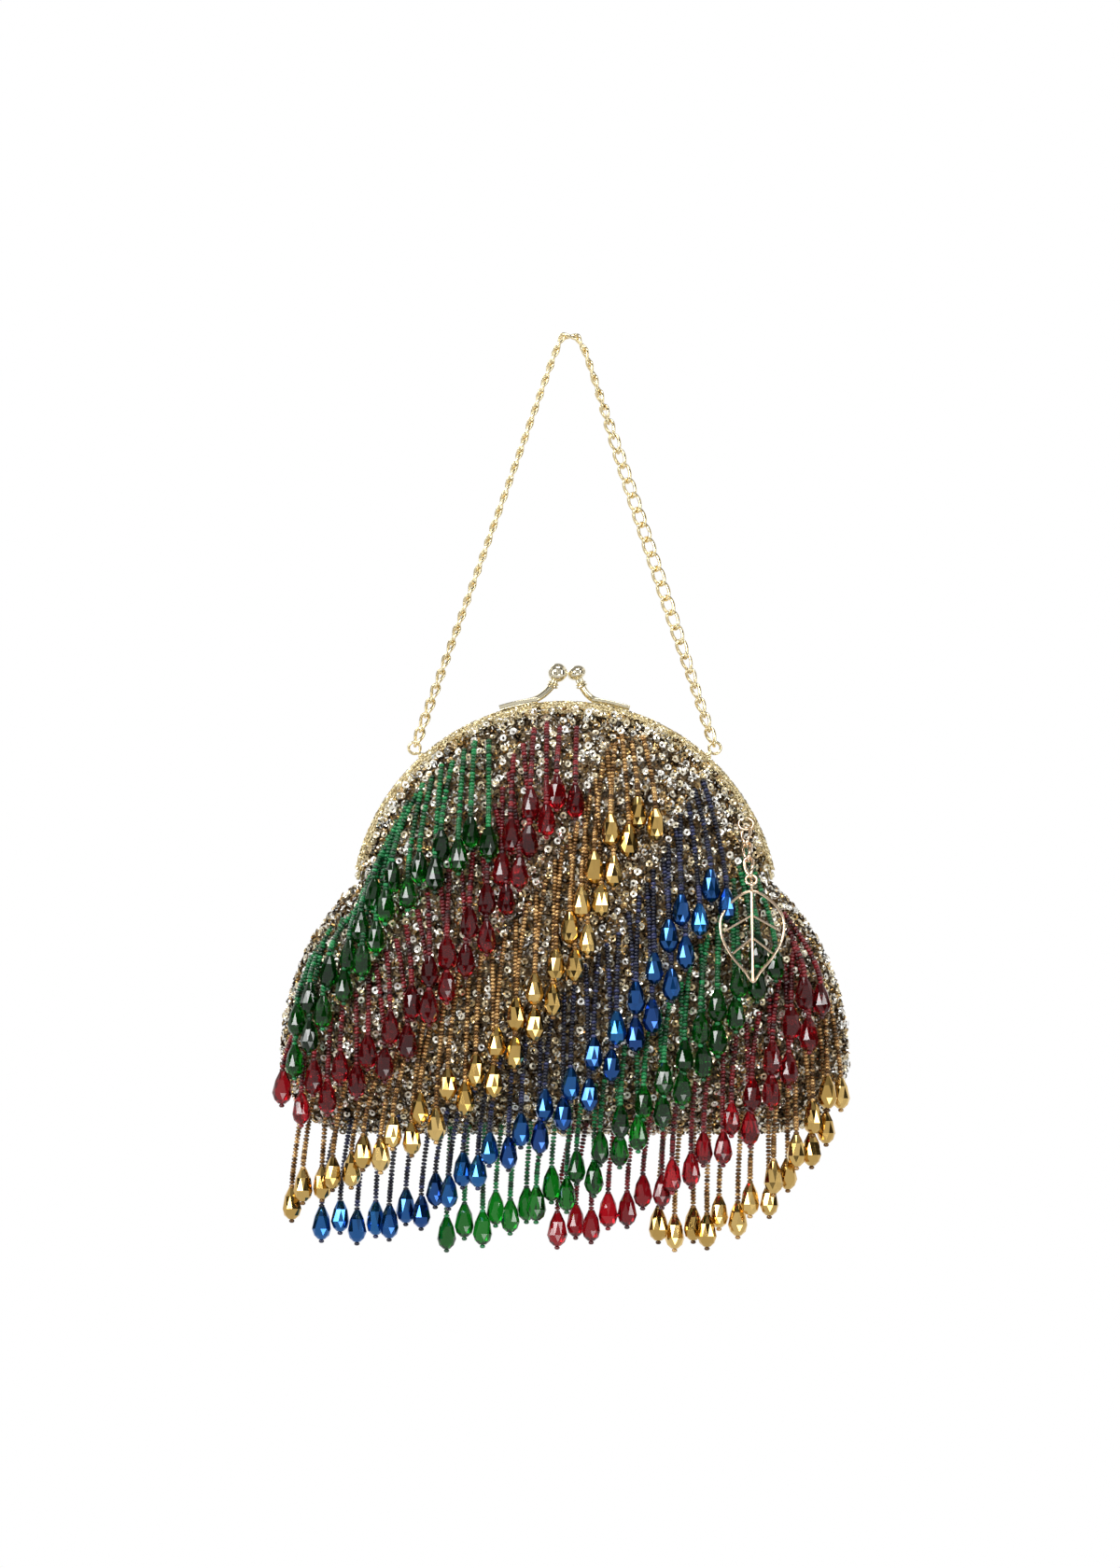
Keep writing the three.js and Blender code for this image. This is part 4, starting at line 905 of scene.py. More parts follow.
@dataclass(frozen=True)
class Pouch:
    """The sequinned cloth bag."""

    form: PouchForm
    rise: float
    wall: float = 1.8
    rings: int = 26
    crowding: float = 1.7
    lip_start: float = 84.5
    sequin: Profile = ((0.62, 0.0), (1.55, 0.35))  # its radius and height at the hole and at the rim
    bugle_length: float = 1.7
    bugle_radius: float = 0.36
    mouth_margin: float = 1.3
    lap: Pair = (83.2, 85.4)
    frame_face: float = 6.55
    fill: float = 2.5  # points tried in each square of the spacing
    lots: tuple[Lot, ...] = (
        Lot("sequins", SEQUINS_AND_PAINTED_SHADOW, 1.75, 0.45, 0.95, 0.82),
        Lot("flat_sequins", FLAT_SEQUINS, 4.1, 1.5, 0.38, 0.9),
        Lot("crumbs", CRUMBS, 1.5, 1.1, 1.0, 0.6))

    def shares(self) -> Array:
        """Rings that crowd towards the edge."""
        return 1 - (1 - np.arange(1, self.rings + 1) / self.rings) ** self.crowding

    def cloth(self) -> bpy.types.Object:
        """The cloth itself, sewn at the sides and open between its lips."""
        draft = Draft()
        lips = [(radius, self.form.mouth_edge) for radius in (self.lip_start, self.form.lip_radius)]
        for face in Face:
            draft.add(*self.form.sheet(face, self.shares(), beyond=lips))
        made = draft.build("pouch_cloth", self.rise, smooth=60)
        solid = made.modifiers.new("wall", "SOLIDIFY")
        solid.thickness, solid.offset = self.wall * MM, -1.0
        return frozen(made)

    def ground(self, face: Face) -> bpy.types.Object:
        """A bare face to strew things on, which laps over the lower edge of the frame."""
        over = [(radius, self.frame_face) for radius in self.lap]
        draft = Draft().add(*self.form.sheet(face, self.shares(), self.mouth_margin, over))
        return draft.build(f"ground_{face.name.lower()}", self.rise, weld=False)

    def shape(self, lot: Lot) -> bpy.types.Object:
        """One cupped sequin with a hole, or one short glass tube for the crumbs."""
        if lot.finish is not CRUMBS:
            return Draft().lathe(self.sequin, 8, capped=False).build("sequin", smooth=30)
        line = np.array([-X_AXIS, X_AXIS]) * self.bugle_length / 2
        return Draft().tube(line, self.bugle_radius, 4).build("bugle", smooth=None)

    def strewn(self, face: Face, tree: Growth) -> list[bpy.types.Object]:
        """The sequins and the crumbs of one face."""
        name = face.name.lower()
        seed = 11 if face is Face.FRONT else 23
        return [tree.grow(self.ground(face), f"{lot.name}_{name}", Unit=self.shape(lot),
                          Finish=lot.finish.mix(), Spacing=lot.spacing * MM,
                          Density=self.fill / (lot.spacing * MM) ** 2, Lift=lot.lift * MM, Lean=lot.lean,
                          Smallest=lot.smallest, Seed=seed + k)
                for k, lot in enumerate(self.lots)]


def frozen(made: bpy.types.Object) -> bpy.types.Object:
    """Works an object's modifiers into its mesh."""
    graph = bpy.context.evaluated_depsgraph_get()
    mesh = bpy.data.meshes.new_from_object(made.evaluated_get(graph), depsgraph=graph)
    made.modifiers.clear()
    old, made.data = made.data, mesh
    bpy.data.meshes.remove(old)
    mesh.name = made.name
    return made


# The frame and its fittings


@dataclass(frozen=True)
class Frame:
    """The arched frame, its hinges, its clasp and what stands on it."""

    rise: float
    radius: float = 88.0
    reach: float = 77.5
    height: float = 5.0
    depth: float = 6.2
    wall: float = 1.5
    half_gap: float = 0.15
    slot_middle: float = 3.25
    slot_width: float = 2.4
    round_over: float = 0.7
    inner_edge: float = 0.25
    lower_edge: float = 0.3
    arch_stations: int = 121
    tab_thickness: float = 1.2
    tab_down: Pair = (0.3, 3.9)
    tab_overhang: float = 2.2
    tab_root: Pair = (-0.3, 0.6)
    tab_round: float = 0.2
    stand_radius: float = 88.3
    bar_thickness: float = 2.4
    bar_depth: float = 3.0
    bar_angles: Pair = (17.4, 7.2)
    neck_radius: float = 1.5
    ball_radius: float = 3.95
    ball_flattening: float = 0.76
    ear_angle: float = 41.9
    ear_rise: float = 4.8
    eyelet_angle: float = 61.5
    eyelet_drop: float = 3.4
    eyelet_standoff: float = 0.9
    eyelet: Pair = (1.5, 0.5)  # a ring's radius and its wire's
    ear_ring: Pair = (2.4, 0.6)
    ear_post: Profile = ((0.8, 87.2), (0.8, 88.25), (1.4, 88.3), (1.5, 88.42), (1.5, 89.0), (1.35, 89.18),
                         (0.85, 89.25), (0.8, 90.5))
    rivet_turned: Profile = ((0.455, -4.95), (1.04, -4.78), (1.3, -4.4), (1.3, -4.16), (0.6, -4.15),
                             (0.6, -0.85), (1.3, -0.84), (1.3, -0.6), (1.04, -0.22), (0.455, -0.05))
    collars: Profile = ((0.5, -6.6), (2.0, -6.5), (2.5, -6.0), (2.4, -5.6), (1.75, -5.3), (1.7, -5.2),
                        (2.25, -5.0), (2.4, -4.7), (2.2, -4.4), (1.7, -4.15))
    bar_round: float = 0.55
    neck_angles: Pair = (9.4, 6.2)
    neck_foot_radius: float = 1.3
    neck_length: float = 5.3
    ball_middle: Pair = (1.0, 12.0)  # to the right, and over the arch
    ball_apart: Pair = (3.85, 1.6)  # from that middle, across and through the bag
    ball_lean: float = 22.0
    scale_drops: tuple[float, ...] = (1.15, 2.25, 3.3, 4.3)
    scale_tops: tuple[Pair, ...] = (  # over the arch, and in from its face
        (-0.3, 0.25), (0.08, 1.5), (0.08, 2.8), (0.08, 4.1))
    scale_size: Triple = (0.5, 0.22, 0.95)
    scale_pitch: float = 1.45
    scale_lift: float = 0.05
    scale_stagger: float = 0.35
    scale_margin: float = 0.6

    @property
    def far(self) -> float:
        """The outside of a half, from the middle plane."""
        return self.half_gap + self.depth

    def section(self, side: int) -> Array:
        """The channel's section, as Y and depth under the outside of the arch."""
        near, far, soft = self.half_gap, self.far, self.round_over
        slots = self.slot_middle - self.slot_width / 2, self.slot_middle + self.slot_width / 2
        inner, lower = self.inner_edge, self.lower_edge
        rows = [(near, inner), (near + inner, 0), (far - soft, 0), (far - 0.3 * soft, 0.3 * soft),
                (far, soft), (far, self.height - lower), (far - lower, self.height), (slots[1], self.height),
                (slots[1], self.wall), (slots[0], self.wall), (slots[0], self.height), (near, self.height)]
        return np.array(rows) * (side, 1)

    def leg_end(self, end: int) -> Array:
        """A frame at the end of a leg: X out, Y to the back, Z back up the leg."""
        out = on_arch(1.0, end * self.reach)
        matrix = np.eye(4)
        matrix[:3, 0], matrix[:3, 1], matrix[:3, 2] = out, (0, 1, 0), (-end * out[2], 0, end * out[0])
        matrix[:3, 3] = self.radius * out
        return matrix

    def leg_box(self, end: int, out: Sequence[float], back: Sequence[float],
                down: Sequence[float]) -> tuple[Array, Faces, Array]:
        """A box with eased corners at the end of a leg, between distances out, to the back and down."""
        low = np.array([min(out), min(back), -max(down)])
        high = np.array([max(out), max(back), -min(down)])
        box = bmesh.new()
        bmesh.ops.create_cube(box, size=1.0)
        for vertex in box.verts:
            vertex.co = (low + high) / 2 + (high - low) * np.array(vertex.co)
        bmesh.ops.bevel(box, geom=box.edges[:], offset=self.tab_round, segments=2, affect="EDGES",
                        profile=0.5)
        points = np.array([tuple(vertex.co) for vertex in box.verts])
        faces = [tuple(vertex.index for vertex in each.verts) for each in box.faces]
        box.free()
        return points, faces, self.leg_end(end)

    def half(self, side: int, name: str) -> bpy.types.Object:
        """One half of the frame, with a hinge tab at each end."""
        angles = np.linspace(-self.reach, self.reach, self.arch_stations)
        rings = [on_arch(self.radius - down, angles, y) for y, down in self.section(side)]
        draft = Draft().sweep(np.stack(rings, 1))
        outer = -self.height / 2 + self.half_gap
        inner = outer - self.tab_thickness - 2 * self.half_gap
        start = outer if side < 0 else inner
        tab = (start, start + self.tab_thickness)
        for end in (-1, 1):
            draft.add(*self.leg_box(end, tab, (side * self.far, -side * self.tab_overhang), self.tab_down))
            draft.add(*self.leg_box(end, tab, (side * self.far, side * self.half_gap), self.tab_root))
        if side < 0:
            draft.ring(*self.eyelet, placed(self.eyelet_at(), X_AXIS, Z_AXIS), 28, 10)
        return draft.build(name, self.rise, smooth=35)

    def eyelet_at(self) -> Array:
        """The middle of the charm's eyelet."""
        return on_arch(self.radius - self.eyelet_drop, self.eyelet_angle, -(self.far + self.eyelet_standoff))

    def scales(self, side: int, tree: Growth) -> bpy.types.Object:
        """The glittering scales of the woven strip, in rows along the arch."""
        reach = self.reach - self.scale_margin
        angles = np.linspace(-reach, reach, 240)
        rows = [(self.radius - drop, side * (self.far + self.scale_lift)) for drop in self.scale_drops]
        rows += [(self.radius + over, side * (self.far - inward)) for over, inward in self.scale_tops]
        lines = [on_arch(r, angles + self.scale_stagger * (k % 2), y) for k, (r, y) in enumerate(rows)]
        name = "scales_front" if side < 0 else "scales_back"
        corner = np.diag(self.scale_size)
        points = np.array([-corner[2], corner[0], corner[2], -corner[0], corner[1], -corner[1]])
        faces = [(0, 1, 4), (1, 2, 4), (2, 3, 4), (3, 0, 4), (1, 0, 5), (2, 1, 5), (3, 2, 5), (0, 3, 5)]
        shape = Draft().add(points, faces).build("scale", smooth=None)
        return tree.grow(line_object(name, lines, self.rise), name, Unit=shape, Finish=SCALES.mix(),
                         Pitch=self.scale_pitch * MM, Smallest=0.8, Wobble=0.4, Seed=31 + side)

    def rivet(self, end: int, name: str) -> bpy.types.Object:
        """A hinge rivet with a domed head at each end."""
        middle = -(self.tab_down[0] + self.tab_down[1]) / 2
        matrix = self.leg_end(end) @ placed(middle * Z_AXIS, X_AXIS, Y_AXIS)
        return Draft().lathe(self.rivet_turned, 20, matrix).build(name, self.rise)

    def clasp(self, side: int, name: str) -> bpy.types.Object:
        """One arm of the kiss-lock: a rounded bar, a bent neck, collars and a ball or a button."""
        y = side * self.slot_middle
        draft = Draft()
        angles = side * np.linspace(*self.bar_angles, 16)
        half, deep, soft = self.bar_thickness / 2, self.bar_depth / 2, self.bar_round
        turn = full_turn(20)
        corner = np.stack([np.sign(np.cos(turn)) * (deep - soft) + soft * np.cos(turn),
                           np.sign(np.sin(turn)) * (half - soft) + soft * np.sin(turn)], -1)
        middle = self.stand_radius + half
        draft.sweep(np.stack([on_arch(middle + up, angles, y + out) for out, up in corner], 1))
        right, over = self.ball_middle
        across, through = self.ball_apart
        ball = np.array([right + across * side, through * side, self.radius + over])
        lean = on_arch(1.0, -side * self.ball_lean)
        foot = [on_arch(middle, side * angle, y) for angle in self.neck_angles]
        line = bezier([*foot, ball - self.neck_length * lean], 18)
        draft.tube(line, np.linspace(self.neck_foot_radius, self.neck_radius, 18), 16)
        flat = self.ball_radius * (1 if side < 0 else self.ball_flattening)
        round_out = [(self.ball_radius * math.sin(a), -flat * math.cos(a))
                     for a in np.linspace(0.42, math.pi - 0.04, 22)]
        draft.lathe([*self.collars, *round_out], 32, placed(ball, lean, X_AXIS))
        return draft.build(name, self.rise, smooth=45)

    def ear_at(self, end: int) -> Array:
        """The middle of an ear's ring."""
        return on_arch(self.radius + self.ear_rise, end * self.ear_angle, self.slot_middle)

    def ear(self, end: int, name: str) -> bpy.types.Object:
        """A ring on a collared post."""
        out = on_arch(1.0, end * self.ear_angle)
        draft = Draft().ring(*self.ear_ring, placed(self.ear_at(end), Y_AXIS, out), 36, 14)
        draft.lathe(self.ear_post, 20, placed(self.slot_middle * Y_AXIS, out, Y_AXIS))
        return draft.build(name, self.rise)


# The chain and the charm


@dataclass(frozen=True)
class CurbLink:
    """A twisted curb link."""

    width: float = 5.8
    wire: float = 0.7
    twist: float = 80.0
    roundness: float = 0.7  # one is an ellipse, less is squarer

    def line(self, pitch: float) -> Array:
        """The middle of the wire about the link's centre, with +Z along the chain."""
        angle = full_turn(30)
        out = np.sin(angle)
        across = (self.width / 2 - self.wire) * np.sign(out) * np.abs(out) ** self.roundness
        turn = math.radians(self.twist) * np.cos(angle) / 2
        return polar(across, turn, (pitch / 2 + self.wire) * np.cos(angle))

    def add(self, draft: Draft, route: Route, start: float, stop: float, roll: float) -> None:
        """Adds one link between two places on a route."""
        first, last = route.at(start), route.at(stop)
        along = last - first
        matrix = placed((first + last) / 2, along, np.cross(Y_AXIS, along)) @ turned(roll)
        draft.tube(self.line(float(np.linalg.norm(along))), self.wire, 9, True, matrix)


@dataclass(frozen=True)
class Handle:
    """The chain handle: two strands that meet just past the top. Its route is in the whole bag's frame."""

    link: CurbLink = CurbLink()
    pitch: float = 6.45
    meet: float = 0.545
    overlap: float = 0.36
    inset: float = 1.44
    crown: tuple[Triple, ...] = (
        (-3.2, 0, -6.3), (-0.8, 0, -1.3), (3.2, 0, -0.5), (6.6, 0, -3.3), (8.6, 0, -8.1))
    roll: SmoothTable = SmoothTable((
        (0, 130), (0.05, 122), (0.12, 104), (0.3, 92), (0.56, 88), (0.66, 30), (0.75, 2), (0.84, 14),
        (0.93, 58), (1, 50)))

    def route(self, ears: Sequence[Array]) -> Route:
        """The chain's line from ear to ear."""
        crown = [np.array(point, float) for point in self.crown]
        falls = [[a + (b - a) * share for share in (0.25, 0.5, 0.75)]
                 for a, b in ((ears[0], crown[0]), (crown[-1], ears[1]))]
        return Route([ears[0], *falls[0], *crown, *falls[1], ears[1]], 80)

    def strands(self, ears: Sequence[Array]) -> list[bpy.types.Object]:
        """Both strands."""
        route = self.route(ears)
        meeting = self.meet * route.length
        spans = {"chain_left_links": (self.inset, meeting + self.overlap),
                 "chain_right_links": (meeting - self.overlap, route.length - self.inset)}
        made = []
        for name, (start, stop) in spans.items():
            stations = np.linspace(start, stop, round((stop - start) / self.pitch) + 1)
            draft = Draft()
            for here, there in zip(stations[:-1], stations[1:]):
                roll = float(self.roll.at((here + there) / 2 / route.length))
                self.link.add(draft, route, here, there, roll)
            made.append(draft.build(name, smooth=70))
        return made


@dataclass(frozen=True)
class Charm:
    """The short chain on the frame's right and the wire leaf on it."""

    form: PouchForm
    rise: float
    eyelet: Triple
    drop: float = 74.4
    ring_radius: float = 3.0
    ring_wire: float = 0.5
    end_ring_radius: float = 2.2
    wire: float = 0.6
    link: CurbLink = CurbLink()
    pitch: float = 8.1
    links: int = 3
    roll: float = 50.0
    hook: float = 0.2
    first_link: float = 5.76
    last_gap: float = 0.54
    bite: float = 0.12  # how far wires sink into each other
    outline: tuple[Pair, ...] = (
        (0.1, 0.0), (0.2, 0.3), (0.36, 0.48), (0.54, 0.48), (0.74, 0.33), (0.9, 0.12))
    veins: tuple[Triple, ...] = ((0.34, 0.5, 0.44), (0.56, 0.72, 0.31))
    loop_radius: float = 2.0
    slack: float = 0.45
    leaf_length: float = 42.0
    leaf_width: float = 26.0
    fall: tuple[Triple, ...] = (
        (-0.001, 0.12, 0.082), (0.004, 0.215, 0.142), (0.015, 0.313, 0.187), (0.028, 0.403, 0.223),
        (0.034, 1.0, 0.253))

    @cached_property
    def line(self) -> Route:
        """The line that it all hangs on, over the fringe."""
        points = [self.eyelet]
        for across, down, proud in self.fall:
            x, z = self.eyelet[0] + across * self.drop, self.eyelet[2] - down * self.drop
            points.append((x, -(float(self.form.swell(x, z)) + proud * self.drop), z))
        return Route(points, 80)

    @property
    def end_ring(self) -> float:
        """Where the last ring's wire passes the line."""
        links_end = self.first_link + self.links * self.pitch
        return links_end + self.last_gap - (2 * self.wire - self.bite)

    def ring(self, draft: Draft, start: float, radius: float, wire: float) -> None:
        """Adds a ring that faces the front."""
        top, bottom = self.line.at(start), self.line.at(start + 2 * radius)
        along = bottom - top
        draft.ring(radius, wire, placed((top + bottom) / 2, np.cross(along, X_AXIS), along), 40, 12)

    def chain(self) -> bpy.types.Object:
        """The jump ring, the links and the ring that holds the leaf."""
        draft = Draft()
        self.ring(draft, self.hook, self.ring_radius, self.ring_wire)
        for k in range(self.links):
            start = self.first_link + k * self.pitch
            self.link.add(draft, self.line, start, start + self.pitch, self.roll)
        self.ring(draft, self.end_ring, self.end_ring_radius, self.wire)
        return draft.build("charm_chain_links", self.rise, smooth=70)

    def leaf(self) -> bpy.types.Object:
        """The leaf: an outline, a midrib, two pairs of veins and a loop, bent from round wire."""
        start = self.end_ring + 2 * self.end_ring_radius - 2 * self.wire - self.slack
        heading = self.line.heading(start + self.leaf_length / 2)
        matrix = placed(self.line.at(start), heading, X_AXIS)

        def at(along: float, across: float) -> Array:
            """A point on the leaf, in shares of its length and width."""
            return np.array([across * self.leaf_width, 0, along * self.leaf_length])

        outline = [at(*row) for row in self.outline] + [at(1.0, 0.0)]
        outline += [at(along, -across) for along, across in self.outline[:0:-1]]
        loop = 2 * self.loop_radius / self.leaf_length
        draft = Draft()
        draft.tube(resampled(Route(outline, 20, closed=True).points, 121)[:-1], self.wire, 12, True, matrix)
        draft.tube(resampled(np.array([at(loop, 0), at(0.99, 0)]), 12), self.wire, 12, False, matrix)
        eye = placed(self.loop_radius * Z_AXIS, X_AXIS, Z_AXIS)
        draft.ring(self.loop_radius, self.wire, matrix @ eye, 32, 12)
        for foot, tip, reach in self.veins:
            for side in (-1, 1):
                vein = resampled(np.array([at(foot, 0), at(tip, side * reach)]), 6)
                draft.tube(vein, 0.8 * self.wire, 10, False, matrix)
        return draft.build("charm_leaf_wire", self.rise, smooth=70)


# The bead fringe


@dataclass(frozen=True)
class Band:
    """One diagonal band of strings, from its upper right end to its lower left end.

    Each row is one place along it: how far across and down a string is sewn there, then how far across and
    down its drop hangs. Both downs are shares of the pouch's height. The first across is a share of its half
    width at that height, and the second of its half width where it is widest.
    """

    name: str
    hue: Hue
    drops: int
    rows: tuple[tuple[float, float, float, float], ...]


BANDS = (
    Band("green_upper", Hue.GREEN, 21, (
        (-0.779, 0.088, -0.282, 0.308), (-0.871, 0.122, -0.391, 0.338), (-0.91, 0.175, -0.507, 0.399),
        (-0.929, 0.222, -0.613, 0.429), (-0.937, 0.285, -0.686, 0.521), (-0.952, 0.369, -0.753, 0.616),
        (-0.908, 0.455, -0.812, 0.655), (-0.951, 0.51, -0.872, 0.69), (-0.98, 0.59, -0.958, 0.803),
    )),
    Band("red_upper", Hue.RED, 28, (
        (0.181, 0.053, 0.033, 0.21), (-0.375, 0.053, -0.09, 0.251), (-0.417, 0.116, -0.159, 0.321),
        (-0.397, 0.223, -0.206, 0.425), (-0.472, 0.332, -0.302, 0.529), (-0.631, 0.418, -0.434, 0.625),
        (-0.662, 0.538, -0.547, 0.734), (-0.728, 0.651, -0.686, 0.827), (-0.855, 0.735, -0.846, 0.892),
        (-0.948, 0.745, -0.991, 0.918),
    )),
    Band("gold_upper", Hue.GOLD, 33, (
        (0.778, 0.09, 0.305, 0.247), (0.557, 0.082, 0.189, 0.321), (0.222, 0.179, 0.103, 0.429),
        (0.026, 0.31, 0.017, 0.595), (-0.128, 0.451, -0.123, 0.716), (-0.278, 0.56, -0.255, 0.842),
        (-0.405, 0.625, -0.421, 0.918), (-0.503, 0.734, -0.567, 0.99), (-0.666, 0.853, -0.729, 1.06),
        (-0.877, 0.91, -0.862, 1.108), (-0.934, 0.89, -0.958, 1.151),
    )),
    Band("blue", Hue.BLUE, 33, (
        (0.929, 0.183, 0.567, 0.434), (0.71, 0.242, 0.441, 0.473), (0.52, 0.347, 0.368, 0.599),
        (0.361, 0.44, 0.282, 0.701), (0.186, 0.555, 0.166, 0.795), (0.035, 0.642, 0.023, 0.899),
        (-0.084, 0.745, -0.099, 0.977), (-0.216, 0.821, -0.249, 1.042), (-0.363, 0.918, -0.388, 1.108),
        (-0.552, 0.962, -0.524, 1.173), (-0.76, 0.965, -0.706, 1.205), (-0.877, 0.955, -0.852, 1.195),
    )),
    Band("green_lower", Hue.GREEN, 29, (
        (0.942, 0.345, 0.723, 0.575), (0.872, 0.397, 0.63, 0.647), (0.641, 0.505, 0.531, 0.738),
        (0.486, 0.595, 0.441, 0.834), (0.344, 0.712, 0.332, 0.908), (0.233, 0.782, 0.222, 0.977),
        (0.118, 0.886, 0.103, 1.062), (0, 0.945, -0.017, 1.116), (-0.169, 0.97, -0.172, 1.175),
        (-0.46, 0.975, -0.401, 1.214),
    )),
    Band("red_lower", Hue.RED, 21, (
        (0.93, 0.494, 0.885, 0.66), (0.901, 0.564, 0.836, 0.764), (0.782, 0.647, 0.733, 0.853),
        (0.653, 0.742, 0.637, 0.947), (0.547, 0.799, 0.527, 1.021), (0.44, 0.89, 0.414, 1.077),
        (0.337, 0.95, 0.282, 1.136), (0.188, 0.97, 0.149, 1.19), (0.035, 0.978, -0.023, 1.216),
    )),
    Band("gold_lower", Hue.GOLD, 16, (
        (0.956, 0.7, 0.971, 0.886), (0.9, 0.742, 0.899, 0.964), (0.819, 0.82, 0.832, 1.038),
        (0.762, 0.89, 0.733, 1.112), (0.703, 0.95, 0.63, 1.168), (0.556, 0.965, 0.487, 1.212),
        (0.416, 0.978, 0.332, 1.212),
    )),
)


@dataclass
class Strand:
    """One string of beads with its drop: where it is sewn and where the middle of its drop hangs."""

    band: Band
    sewn: Array
    drop: Array
    tone: float


@dataclass(frozen=True)
class Fringe:
    """The seven bands of seed beads and faceted drops."""

    form: PouchForm
    rise: float
    bead_radius: float = 1.24
    bead_length: float = 1.42
    pitch: float = 1.46
    string_out: float = 2.3
    sewn_out: float = 0.9
    drop_out: float = 7.2
    drop_half: float = 6.6
    stagger: float = 4.2
    jitter: Pair = (1.1, 2.0)
    foot_jitter: Pair = (0.6, 1.5)
    steadier: Pair = (0.75, 0.4)  # how much less a free drop is staggered and moved
    size_range: Pair = (0.96, 1.04)
    bead_smallest: float = 0.92
    bead_wobble: float = 0.12
    lean_share: float = 0.35
    top_gap: float = 0.5
    free_length: float = 10.0  # the height over which a drop comes to hang clear of the cloth
    room: Triple = (7.9, 7.9, 13.2)
    push: Triple = (0.8, 1.0, 0.35)
    push_gain: float = 3.0
    push_share: float = 0.5  # each drop of a pair takes half
    push_rounds: int = 90
    push_back: float = 1.4
    push_forward: float = 3.6
    station: float = 1.5
    leave_length: float = 5.0  # the length over which a string leaves the cloth
    reach_length: float = 11.0  # the length over which it runs out to its drop
    bow: float = 1.5
    stop_gap: float = 0.62
    stop_size: Triple = (0.9, 0.9, 1.1)
    seed: int = 5
    facets: int = 10
    cut: tuple[Triple, ...] = (
        (6.6, 1.25, 0.0), (2.8, 3.05, 0.5), (-2.3, 4.0, 0.0), (-5.0, 3.1, 0.5), (-6.5, 1.4, 0.0))

    def places(self, band: Band, chance: np.random.Generator) -> list[Strand]:
        """A band's strings, spaced evenly along the line of their drops, then moved a little by chance."""
        sewn_across, sewn_down, drop_across, drop_down = np.array(band.rows).T
        sewn_z, drop_z = (self.form.top - down * self.form.height for down in (sewn_down, drop_down))
        sewn = np.stack([sewn_across * self.form.half_width_at(sewn_z), sewn_z], -1)
        drop = np.stack([drop_across * self.form.half_width, drop_z], -1)
        lengths = np.concatenate([[0.0], np.cumsum(np.linalg.norm(np.diff(drop, axis=0), axis=1))])
        strands = []
        for i, at in enumerate(np.linspace(0, lengths[-1], band.drops)):
            foot = np.array([np.interp(at, lengths, column) for column in sewn.T])
            end = np.array([np.interp(at, lengths, column) for column in drop.T])
            free = np.clip((-self.form.bottom_drop - end[1]) / self.free_length + 1, 0, 1)
            end[1] += (1 - self.steadier[0] * free) * self.stagger * (1 if i % 2 else -1)
            end += chance.uniform(-1, 1, 2) * self.jitter * (1 - self.steadier[1] * free)
            foot += chance.uniform(-1, 1, 2) * self.foot_jitter
            out = self.drop_out + chance.uniform(0, 1)
            depth = float(self.form.hang_depth(end[0], foot[1], end[1])) + out
            strands.append(Strand(band, foot, np.array([end[0], -depth, end[1]]), float(chance.random())))
        return strands

    def strands(self) -> list[Strand]:
        """Every string, with the drops pushed apart where they would meet."""
        chance = np.random.default_rng(self.seed)
        found = [strand for band in BANDS for strand in self.places(band, chance)]
        middles = np.array([strand.drop for strand in found])
        nearest = middles[:, 1] + self.push_back
        furthest = middles[:, 1] - self.push_forward
        for _ in range(self.push_rounds):
            apart = middles[:, None] - middles[None]
            spread = np.linalg.norm(apart / self.room, axis=-1)
            np.fill_diagonal(spread, 9.0)  # a drop doesn't push itself
            close = np.clip(1.0 - spread, 0, None)[..., None]
            way = unit(apart + np.sign(apart[..., :1] + 1e-9) * (0.02, 0.0, 0.0))
            middles += (way * close * self.push * self.push_gain).sum(1) * self.push_share
            middles[:, 1] = np.clip(middles[:, 1], furthest, nearest)
        for strand, middle in zip(found, middles):
            strand.drop = middle
        return found

    def string(self, strand: Strand) -> Array:
        """The line of a string, from where it is sewn down to the top of its drop."""
        top = strand.drop + (0, 0, self.drop_half + self.top_gap)
        count = max(int((strand.sewn[1] - top[2]) / self.station), 6)
        z = np.linspace(strand.sewn[1], top[2], count)
        share = (z[0] - z) / (z[0] - z[-1])
        x = strand.sewn[0] + (top[0] - strand.sewn[0]) * (1 - (1 - share) ** self.bow)
        depth = self.form.hang_depth(x, float(z[0]), z)
        left = np.clip((z[0] - z) / self.leave_length, 0, 1)
        off = self.sewn_out + (self.string_out - self.sewn_out) * left
        last = np.clip(1 - (z - z[-1]) / self.reach_length, 0, 1)
        last = last * last * (3 - 2 * last)
        return np.stack([x, -(depth + off) * (1 - last) + top[1] * last, z], -1)

    def bead(self) -> bpy.types.Object:
        """One seed bead."""
        r, half = self.bead_radius, self.bead_length / 2
        profile = [(0.5 * r, -half), (r, -0.45 * half), (r, 0.45 * half), (0.5 * r, half)]
        return Draft().lathe(profile, 8).build("bead", smooth=75)

    def cut_drop(self) -> bpy.types.Object:
        """One faceted drop. Each row of corners stands between the corners of the next."""
        n = self.facets
        points = [polar(radius, 2 * math.pi * (np.arange(n) + shift) / n, height)
                  for height, radius, shift in self.cut]
        faces: Faces = []
        for k in range(len(self.cut) - 1):
            here, there = k * n, (k + 1) * n
            leads = self.cut[k][2] < self.cut[k + 1][2]
            for i in range(n):
                j = (i + 1) % n
                if leads:
                    faces += [(here + i, there + i, here + j), (here + j, there + i, there + j)]
                else:
                    faces += [(here + i, there + i, there + j), (here + i, there + j, here + j)]
        faces += [tuple(range(n)), tuple(range((len(self.cut) - 1) * n, len(self.cut) * n))[::-1]]
        return Draft().add(np.concatenate(points), faces).build("drop", smooth=None)

